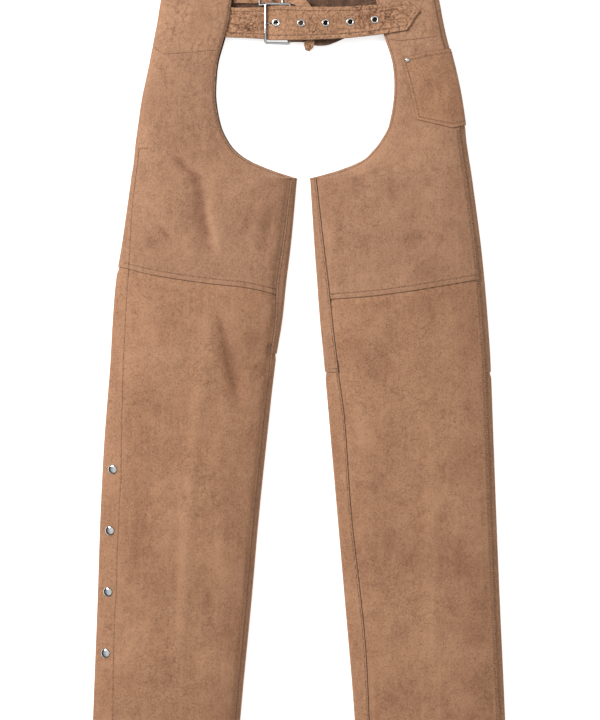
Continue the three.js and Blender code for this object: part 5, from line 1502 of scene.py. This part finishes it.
class CHAPS_OT_back_waist(bpy.types.Operator):
    """Gathers the back yoke and threads its strap"""

    bl_idname = "chaps.back_waist"
    bl_label = "Back yoke and strap"

    def execute(self, context):
        colours = context.scene.chaps_colours
        self.yoke(both_sides("thigh", colours))
        self.strap(both_sides("belt", colours))
        return {"FINISHED"}

    def yoke(self, looks):
        half = 0.8 * HALF_CUTOUT + YOKE_LAP
        x = spaced((-half, half), 2.2)[None, :]
        shares = spaced((0, YOKE_DEPTH), 3.0)[:, None] / YOKE_DEPTH
        top = RISE + BACK_RISE
        y = mix(top - YOKE_DEPTH, top, shares) - YOKE_DROOP * (1 - (x / half) ** 2)
        x = x + 0 * y
        low = yoke_low(x)
        crumpled = ease(np.abs(x), 0.74 * HALF_CUTOUT, 0.6 * HALF_CUTOUT)
        fine = 0.5 * (clouds(x, 0.5 * y, 9, 3, 31.0) - 0.7) * crumpled
        low = np.maximum(low + fine * (low > 0.3), 0.02)
        outside, inside = np.stack([x, y, low], -1), np.stack([x, y, low + LEATHER], -1)
        taper_edges(inside, outside)
        lay_sheet("back_yoke", inside, outside, None, plain_fields(y), [], "panel_leather", looks)

    def strap(self, looks):
        numbers = np.arange(len(BACK_STRAP_COURSE))
        at_fine = np.linspace(0, numbers[-1], 121)
        columns = ("at", "up", "heading")
        stations = {name: [getattr(row, name) for row in BACK_STRAP_COURSE] for name in columns}
        at, up, heading = (through(numbers, station, at_fine)[:, None] for station in stations.values())
        aside = BACK_STRAP_WIDTH * np.linspace(-0.5, 0.5, 11)[None, :]
        aside = aside * (1 - 0.5 * ease(at_fine, numbers[-1] - 0.6, numbers[-1])[:, None])
        angle = np.radians(heading)
        x = at * HALF_CUTOUT - aside * np.sin(angle)
        y = up * RISE + aside * np.cos(angle)
        station_low = back_strap_low(np.array(stations["at"]), np.array(stations["up"]))
        low = np.interp(at_fine, numbers, station_low)[:, None] + 0 * x
        inside, outside = np.stack([x, y, low], -1), np.stack([x, y, low + LEATHER], -1)
        taper_edges(inside, outside)
        lay_sheet("back_strap", inside, outside, None, plain_fields(y), ["back_yoke"], "belt_leather", looks)


def belt_point(across):
    """How far the belt's point comes forward at a place across the belt, as a share."""
    edge = np.where(across > POINT_ACROSS, 0.5, -0.5)
    return 1 - np.abs((across - POINT_ACROSS) / (edge - POINT_ACROSS))


def belt_normal(x, y):
    slope_x = (belt_low(x + 1, y) - belt_low(x - 1, y)) / 2
    slope_y = (belt_low(x, y + 1) - belt_low(x, y - 1)) / 2
    normals = np.stack([-slope_x, -slope_y, np.ones_like(slope_x)], -1)
    return normals / np.linalg.norm(normals, axis=-1, keepdims=True)


class CHAPS_OT_belt(bpy.types.Operator):
    """Lays the belt's free end and the buckle's own strap"""

    bl_idname = "chaps.belt"
    bl_label = "Belt"

    def execute(self, context):
        colours = context.scene.chaps_colours
        start = -0.84 * HALF_CUTOUT - BELT_TUCK
        station = spaced((start, BELT_TIP_X), 1.1)[:, None]
        across = spaced((-0.5, 0.5), 0.022, close=0.012)[None, :]
        x = station + BELT_TIP * belt_point(across) * np.clip((station - BELT_TIP_X + 26) / 26, 0, 1)
        y = belt_middle(x) + belt_width(station) * across
        low = belt_low(x, y)
        shift = belt_shift(x, y)
        from_side = (0.5 - np.abs(across)) * BELT_WIDTH + 0 * x
        from_tip = (BELT_TIP_X - station) + 0 * x
        edge_drop = 0.5 * np.exp(-np.minimum(from_side, from_tip + 0.4) / 1.1)
        inside = np.stack([x, y, low + 0 * x], -1)
        outside = np.stack([x, y, low + BELT_THICKNESS + shift - edge_drop], -1)
        taper_edges(inside, outside, 0.2)
        middle_x, middle_y = between(x), between(y)
        keep = np.hypot((middle_x - BUCKLE_FRONT_X - 7.6) / 1.9, middle_y - BUCKLE_Y) > 1.5
        hole = EYELET_HOLE / 2 + EYELET_WALL + 0.7
        for centre in eyelet_places():
            keep &= np.hypot(middle_x - centre, middle_y - belt_middle(centre)) > hole
        edge_gap = np.minimum(from_side, from_tip + 0.3)
        # The relief field, which sets the painted shade and highlight, is half as strong again as the
        # crumples' height.
        fields = {"edge_gap": edge_gap, "stitch_gap": np.abs(edge_gap - BELT_STITCH), "relief": 1.5 * shift}
        lay_sheet(
            "belt_strap", inside, outside, keep, fields, ["left_thigh_front"], "belt_leather",
            both_sides("belt", colours),
        )
        self.buckle_strap(both_sides("strap", colours))
        return {"FINISHED"}

    def buckle_strap(self, looks):
        """Turns the buckle's own strap round the heel bar and runs it back under the left hip."""
        loop = WIRE_RADIUS + GAP
        end = 0.87 * HALF_CUTOUT + BELT_TUCK
        returned = [
            ((x, LOOP_RETURN_Z), (x, LOOP_RETURN_Z + LEATHER))
            for x in np.linspace(HEEL_BAR_X + 20, HEEL_BAR_X + 2, 12)
        ]
        for angle in np.radians(np.linspace(80, 280, 21)):
            cosine, sine = math.cos(angle), math.sin(angle)
            returned.append(tuple(
                (HEEL_BAR_X + radius * cosine, HEEL_BAR_Z + radius * sine)
                for radius in (loop, loop + LEATHER)
            ))
        across = spaced((-0.5, 0.5), 0.05, close=0.012)[None, :]
        run = np.linspace(HEEL_BAR_X + loop, end, 110)[1:]
        inner_x, outer_x = (np.concatenate([[place[side][0] for place in returned], run]) for side in (0, 1))
        sag = BELT_WIDTH * along(BUCKLE_STRAP_COURSE, "at", inner_x / HALF_CUTOUT, "sag")
        y = BUCKLE_Y - sag[:, None] + BUCKLE_STRAP_WIDTH * across
        low = buckle_strap_low(run[:, None], y[len(returned):])
        count = across.size
        inner_x, outer_x = (np.repeat(values[:, None], count, 1) for values in (inner_x, outer_x))
        shift = 0.5 * ease(outer_x, HEEL_BAR_X + LOOP_RETURN, HEEL_BAR_X + 2 * LOOP_RETURN)
        shift = shift * (ridges(outer_x, y, 14, 27.0) - 0.4)
        turned_z = [np.repeat([[place[side][1]] for place in returned], count, 1) for side in (0, 1)]
        inside, outside = (
            np.stack([x, y, np.concatenate([turned, face]) + shift], -1)
            for x, turned, face in ((inner_x, turned_z[0], low + LEATHER), (outer_x, turned_z[1], low))
        )
        taper_edges(inside, outside, 0.2)
        off_prong = np.abs(between(y) - BUCKLE_Y) >= 0.5 * PRONG_WIRE + 3 * GAP + 0.6
        keep = off_prong | (np.abs(between(inner_x) - HEEL_BAR_X) >= loop + PRONG_WIRE + GAP)
        from_side = (0.5 - np.abs(across)) * BELT_WIDTH + 0 * y
        # The relief field, which sets the painted shade and highlight, is 2.2 times the crumples' height.
        fields = {"edge_gap": from_side, "stitch_gap": np.abs(from_side - BELT_STITCH), "relief": 2.2 * shift}
        lay_sheet("buckle_strap", inside, outside, keep, fields, ["back_yoke"], "belt_leather", looks)


def lathe_piece(name, profile, sides, ring=False):
    """A round piece on the z axis through the origin, from rows of radius and height in millimetres. It is
    solid from its lowest row to its highest, or a ring whose rows run round its wall and close."""
    deselect()
    thinnest = 1e-3
    radius, height = max(profile[0][0], thinnest), profile[0][1]
    bpy.ops.mesh.primitive_circle_add(
        vertices=sides, radius=radius / 1000, location=(0, 0, height / 1000),
        fill_type="NOTHING" if ring else "NGON",
    )
    obj = bpy.context.object
    obj.name = obj.data.name = name
    apply_place()
    edit_all()
    extrude = bpy.ops.mesh.extrude_edges_move if ring else bpy.ops.mesh.extrude_region_move
    for next_radius, next_height in [*profile[1:], profile[0]] if ring else profile[1:]:
        upward = (0, 0, (next_height - height) / 1000)
        extrude(TRANSFORM_OT_translate={"value": upward, "orient_type": "GLOBAL"})
        next_radius = max(next_radius, thinnest)
        scale = next_radius / radius
        bpy.ops.transform.resize(value=(scale, scale, 1), orient_type="GLOBAL", center_override=(0, 0, 0))
        radius, height = next_radius, next_height
    close_up(2e-6 if ring else 1e-6)
    return obj


def copied(obj, names):
    """The piece and its copies, each with its own mesh and name."""
    pieces = [obj]
    for _ in names[1:]:
        other = obj.copy()
        other.data = obj.data.copy()
        bpy.context.scene.collection.objects.link(other)
        pieces.append(other)
    for piece, name in zip(pieces, names):
        piece.name = piece.data.name = name
    return pieces


def place_on(obj, point, normal):
    """Stands a piece on a place of the garment and applies that to its mesh."""
    obj.rotation_mode = "QUATERNION"
    obj.rotation_quaternion = Vector((0, 0, 1)).rotation_difference(Vector(normal))
    obj.location = framed(point)
    only(obj)
    apply_place()


def finish_fitting(obj, node_name, plating):
    smooth(obj, 35)
    dress(obj, plated_metal(plating, bpy.context.scene.chaps_colours))
    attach(obj, "root")
    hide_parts(node_name)


def leg_spot(leg, place, y, lifted):
    """A point lifted above a leg's inner face, and the normal there."""
    x, z, normal_x, normal_z = (float(value) for value in leg_section(leg, place, y))
    return (x + normal_x * lifted, y, z + normal_z * lifted), (normal_x, 0, normal_z)


def dome(radius, start, top, degrees, fullness=1.0):
    """Rows of radius and height over a dome that begins at height start, without its topmost point."""
    rows = []
    for angle in np.radians(degrees).tolist():
        rows.append((radius * math.cos(angle) ** fullness, start + (top - start) * math.sin(angle)))
    return rows


class CHAPS_OT_snaps(bpy.types.Operator):
    """Presses the four snaps into the side closure, and the rivet into the pocket"""

    bl_idname = "chaps.snaps"
    bl_label = "Snaps and rivet"

    def execute(self, context):
        rim, post, foot = SNAP_DIAMETER / 2, 2.0, -2 * LAYER
        profile = [(0.0, foot - 1), (0.6 * rim, foot - 1), (0.6 * rim, foot), (post, foot), (post, GAP)]
        profile += [(0.93 * rim, GAP), (0.985 * rim, GAP + 0.12), (rim, GAP + 0.35)]
        profile += dome(rim, GAP + 0.35, GAP + SNAP_HEIGHT, range(8, 90, 9), 0.8)
        names = [f"right_snap_{number}" for number in range(1, len(snap_heights()) + 1)]
        snap = lathe_piece("snap_cap", [*profile, (0.0, GAP + SNAP_HEIGHT)], 32)
        for obj, name, y in zip(copied(snap, [f"{name}_cap" for name in names]), names, snap_heights()):
            _, run, _ = front_span(RIGHT, y)
            place_on(obj, *leg_spot(RIGHT, (SNAP_FROM_EDGE - FOLD_RADIUS) / run, y, LEATHER))
            finish_fitting(obj, name, "chrome")
        rim = RIVET_DIAMETER / 2
        profile = [(0.0, GAP), (0.9 * rim, GAP), *dome(rim, GAP + 0.3, GAP + RIVET_HEIGHT, range(0, 90, 15))]
        obj = lathe_piece("left_pocket_rivet_cap", [*profile, (0.0, GAP + RIVET_HEIGHT)], 24)
        place, y = (float(value) for value in pocket_place(RIVET_GIRTH, RIVET_ROW))
        lifted = LAYER + LEATHER + float(hand_shift(LEFT, np.array(place), np.array(y)))
        place_on(obj, *leg_spot(LEFT, place, y, lifted))
        finish_fitting(obj, "left_pocket_rivet", "nickel")
        return {"FINISHED"}


class CHAPS_OT_eyelets(bpy.types.Operator):
    """Rolls the five eyelets into the belt"""

    bl_idname = "chaps.eyelets"
    bl_label = "Eyelets"

    def execute(self, context):
        hole, rim = EYELET_HOLE / 2, EYELET_DIAMETER / 2
        wall, foot, top = hole + EYELET_WALL, -GAP - 0.5 * EYELET_ROLL, BELT_THICKNESS + GAP
        profile = [(rim - 0.8, foot), (rim - 0.8, -GAP), (wall, -GAP), (wall, top)]
        profile += [(rim - 0.1, top), (rim, top + 0.25)]
        centre, half = 0.5 * (hole + rim), 0.5 * (rim - hole)
        for angle in np.radians(range(10, 180, 14)).tolist():
            rolled = top + 0.2 + (EYELET_ROLL - 0.2) * math.sin(angle)
            profile.append((centre + half * math.cos(angle), rolled))
        profile += [(hole, top + 0.1), (hole, 0.5 * top), (hole, foot)]
        names = [f"eyelet_{number}" for number in range(1, len(eyelet_places()) + 1)]
        eyelet = lathe_piece("eyelet_ring", profile, 32, ring=True)
        for obj, name, x in zip(copied(eyelet, [f"{name}_ring" for name in names]), names, eyelet_places()):
            y = float(belt_middle(x))
            place_on(obj, (x, y, float(belt_low(x, y))), belt_normal(x, y))
            finish_fitting(obj, name, "nickel")
        return {"FINISHED"}


def wire_piece(name, points, radii, closed):
    """A round wire along points in millimetres, made a mesh."""
    curve = bpy.data.curves.new(name, "CURVE")
    curve.dimensions = "3D"
    curve.bevel_depth = 0.001
    curve.bevel_resolution = 6
    curve.use_fill_caps = True
    spline = curve.splines.new("POLY")
    spline.points.add(len(points) - 1)
    for point, place, radius in zip(spline.points, framed(points), radii):
        point.co = (*place, 1)
        point.radius = radius
    spline.use_cyclic_u = closed
    obj = bpy.data.objects.new(name, curve)
    bpy.context.scene.collection.objects.link(obj)
    only(obj)
    bpy.ops.object.convert(target="MESH")
    obj = bpy.context.object
    edit_all()
    close_up(2e-6)
    obj.name = obj.data.name = name
    return obj


def buckle_z(x):
    return mix(FRONT_BAR_Z, HEEL_BAR_Z, (x - BUCKLE_FRONT_X) / BUCKLE_LENGTH)


class CHAPS_OT_buckle(bpy.types.Operator):
    """Bends the buckle's wire frame and its prong"""

    bl_idname = "chaps.buckle"
    bl_label = "Buckle"

    def execute(self, context):
        points = []
        half = BUCKLE_HEIGHT / 2
        corners = [(HEEL_BAR_X, half), (BUCKLE_FRONT_X, half), (BUCKLE_FRONT_X, -half), (HEEL_BAR_X, -half)]
        for quarter, (x, y) in enumerate(corners):
            in_x = x - BUCKLE_CORNER if x > BUCKLE_FRONT_X else x + BUCKLE_CORNER
            in_y = y - BUCKLE_CORNER if y > 0 else y + BUCKLE_CORNER
            for step in range(7):
                angle = 0.5 * math.pi * (quarter + step / 6)
                wire_x = in_x + BUCKLE_CORNER * math.cos(angle)
                points.append((wire_x, BUCKLE_Y + in_y + BUCKLE_CORNER * math.sin(angle), buckle_z(wire_x)))
        frame = wire_piece("buckle_frame_wire", points, [WIRE_RADIUS] * len(points), True)
        finish_fitting(frame, "buckle_frame", "chrome")
        eye = WIRE_RADIUS + GAP + PRONG_WIRE / 2
        path = []
        for angle in np.radians(np.linspace(118, -168, 19)).tolist():
            path.append((HEEL_BAR_X + eye * math.cos(angle), BUCKLE_Y, HEEL_BAR_Z + eye * math.sin(angle)))
        top_z = BELT_UNDER_BAR + BELT_THICKNESS + 1.5
        path += [
            (HEEL_BAR_X - 2 * eye, BUCKLE_Y, HEEL_BAR_Z - 0.4),
            (BUCKLE_FRONT_X + 9.8, BUCKLE_Y, 8.1),
            (BUCKLE_FRONT_X + 6, BUCKLE_Y, top_z),
            (BUCKLE_FRONT_X + WIRE_RADIUS + 0.9, BUCKLE_Y, top_z + 0.3),
        ]
        radii = [PRONG_WIRE / 2] * (len(path) - 1) + [PRONG_WIRE / 3]
        finish_fitting(wire_piece("buckle_prong_wire", path, radii, False), "buckle_prong", "chrome")
        return {"FINISHED"}


class CHAPS_OT_slider(bpy.types.Operator):
    """Bends the slider of the back strap"""

    bl_idname = "chaps.slider"
    bl_label = "Slider"

    def execute(self, context):
        deselect()
        half_x, half_y = SLIDER_LENGTH / 2, BACK_STRAP_WIDTH / 2 + 2 * GAP + SLIDER_WIRE
        wire = SLIDER_WIRE / 1000
        bpy.ops.mesh.primitive_cube_add(size=1, scale=(2 * half_x / 1000, 2 * half_y / 1000, wire))
        obj = context.object
        apply_place()
        window_x = half_x - 1.5 * SLIDER_WIRE
        for side in (-1, 1):
            bpy.ops.mesh.primitive_cube_add(
                size=1,
                location=(side * 0.5 * (window_x + SLIDER_WIRE) / 1000, 0, 0),
                scale=(window_x / 1000, 2 * (half_y - SLIDER_WIRE) / 1000, 3 * wire),
            )
            cutter = context.object
            only(obj)
            window = obj.modifiers.new("window", "BOOLEAN")
            window.object = cutter
            window.operation = "DIFFERENCE"
            bpy.ops.object.modifier_apply(modifier=window.name)
            bpy.data.objects.remove(cutter)
        bevel = obj.modifiers.new("rounded", "BEVEL")
        bevel.width = 0.3 * wire
        bevel.segments = 3
        bevel.limit_method = "ANGLE"
        bpy.ops.object.modifier_apply(modifier=bevel.name)
        obj.name = obj.data.name = "back_slider_plate"
        obj.rotation_euler = (0, 0, math.radians(SLIDER_TILT))
        obj.location = framed((SLIDER_X, SLIDER_Y, SLIDER_Z))
        apply_place()
        finish_fitting(obj, "back_slider", "nickel")
        return {"FINISHED"}


class CHAPS_OT_sewing(bpy.types.Operator):
    """Sews every visible seam, stitch by stitch"""

    bl_idname = "chaps.sewing"
    bl_label = "Seams"

    def execute(self, context):
        colours, sewing = context.scene.chaps_colours, context.scene.chaps_sewing
        seam_objects("right_leg", leg_seams(RIGHT, sewing), colours)
        seam_objects("left_leg", leg_seams(LEFT, sewing) + self.pocket(sewing), colours)
        seam_objects("belt", self.belt(sewing), colours)
        return {"FINISHED"}

    def pocket(self, sewing):
        """Sews the pocket inside its front edge, its bottom edges and its opening."""
        inset = POCKET_STITCH / POCKET_DEPTH
        girth = np.linspace(POCKET_FRONT - POCKET_STITCH, -0.5 * math.pi * FOLD_RADIUS, 60)
        shares = np.linspace(inset, 1 - inset, 30)
        lines = [(girth, 0 * girth + inset), (girth, 0 * girth + 1 - inset)]
        lines.append((0 * shares + POCKET_FRONT - POCKET_STITCH, shares))
        return [leg_seam(LEFT, *pocket_place(*line), LAYER + LEATHER, sewing) for line in lines]

    def belt(self, sewing):
        """Sews the belt along both edges and round its point."""
        seams = []
        x = np.linspace(-0.84 * HALF_CUTOUT, BELT_TIP_X - 6, 400)
        for across, inset in ((0.5, -6.3), (-0.5, 7.0)):
            seams.append(self.on_belt(x, belt_middle(x) + belt_width(x) * across + inset, sewing))
        across = np.linspace(-0.36, 0.37, 60)
        x = BELT_TIP_X + BELT_TIP * belt_point(across) - 6.5
        seams.append(self.on_belt(x, belt_middle(x) + belt_width(BELT_TIP_X) * across, sewing))
        return seams

    def on_belt(self, x, y, sewing):
        height = belt_low(x, y) + BELT_THICKNESS + belt_shift(x, y)
        return Seam(np.stack([x, y, height], -1), belt_normal(x, y), sewing.belt_pitch, 1.25 * sewing.thread)


class CHAPS_OT_studio(bpy.types.Operator):
    """Lays the white sweep, hangs the lights and sets the camera straight above"""

    bl_idname = "chaps.studio"
    bl_label = "Studio"

    def execute(self, context):
        scene = context.scene
        deselect()
        bpy.ops.mesh.primitive_plane_add(size=12, location=(0, 0, -0.0006))
        floor = context.object
        floor.name = floor.data.name = "paper_sweep"
        dress(floor, plain_floor())
        for name, place, size, energy in (
            ("soft_box", (-2.7, 1.8, 2.6), 1.3, 165),
            ("fill_box", (2.6, -0.8, 2.4), 2.2, 20),
        ):
            bpy.ops.object.light_add(type="AREA", location=place)
            light = context.object
            light.name = name
            light.data.shape = "RECTANGLE"
            light.data.size, light.data.size_y = size, size
            light.data.energy = energy
            light.rotation_euler = Vector(place).to_track_quat("Z", "Y").to_euler()
        self.world(scene)
        self.camera(scene)
        scene.view_settings.view_transform = "Standard"
        return {"FINISHED"}

    def world(self, scene):
        """A white room with a darker place to the right of the camera, which the bright metal mirrors."""
        world = bpy.data.worlds.new("white_room")
        scene.world = world
        world.use_nodes = True
        tree = world.node_tree
        tree.nodes.clear()
        direction = node(tree, "ShaderNodeTexCoord", output="Generated")
        aim = Vector((0.5, -0.15, 0.75)).normalized()
        dot = {"operation": "DOT_PRODUCT"}
        toward = node(tree, "ShaderNodeVectorMath", dot, {0: direction, 1: aim}, "Value")
        glow = node(tree, RAMP, {"stops": [(0.93, 1.0), (0.975, 0.12)]}, {"Fac": toward})
        height = node(tree, "ShaderNodeSeparateXYZ", {}, {"Vector": direction}, "Z")
        walls = node(tree, RAMP, {"stops": [(0.52, 0.06), (0.84, 1.0)]}, {"Fac": height})
        product = {"data_type": "RGBA", "blend_type": "MULTIPLY"}
        room = node(tree, MIX, product, {0: 1.0, 6: glow, 7: walls}, 2)
        shade = node(tree, "ShaderNodeBackground", {}, {"Color": room, "Strength": 0.92})
        node(tree, "ShaderNodeOutputWorld", {}, {"Surface": shade})

    def camera(self, scene):
        """The photo takes in 900 by 1080 mm of the plane that the chaps lie on, from straight above."""
        view_height, distance = 1.08, 3.0
        middle = framed((-5.25, -273.0, 18.0))
        data = bpy.data.cameras.new("camera")
        data.sensor_width = 36
        data.lens = 36 * distance / view_height
        camera = bpy.data.objects.new("camera", data)
        camera.location = (middle[0], middle[1], middle[2] + distance)
        scene.collection.objects.link(camera)
        scene.camera = camera


class CHAPS_PT_panel(bpy.types.Panel):
    bl_label = "Motorcycle chaps"
    bl_idname = "CHAPS_PT_panel"
    bl_space_type = "VIEW_3D"
    bl_region_type = "UI"
    bl_category = "Chaps"

    def draw(self, context):
        for operator in OPERATORS:
            self.layout.operator(operator.bl_idname)
        for group in (context.scene.chaps_sewing, context.scene.chaps_colours):
            for name in group.__annotations__:
                self.layout.prop(group, name)


OPERATORS = (
    CHAPS_OT_panels,
    CHAPS_OT_placket,
    CHAPS_OT_pocket,
    CHAPS_OT_back_waist,
    CHAPS_OT_belt,
    CHAPS_OT_buckle,
    CHAPS_OT_slider,
    CHAPS_OT_snaps,
    CHAPS_OT_eyelets,
    CHAPS_OT_sewing,
    CHAPS_OT_studio,
)
CLASSES = (ChapsColours, ChapsSewing, *OPERATORS, CHAPS_PT_panel)


def register():
    for item in CLASSES:
        bpy.utils.register_class(item)
    bpy.types.Scene.chaps_colours = bpy.props.PointerProperty(type=ChapsColours)
    bpy.types.Scene.chaps_sewing = bpy.props.PointerProperty(type=ChapsSewing)


def unregister():
    del bpy.types.Scene.chaps_sewing
    del bpy.types.Scene.chaps_colours
    for item in reversed(CLASSES):
        bpy.utils.unregister_class(item)


def main():
    register()
    for operator in OPERATORS:
        group, name = operator.bl_idname.split(".")
        getattr(getattr(bpy.ops, group), name)()


if __name__ == "__main__":
    main()
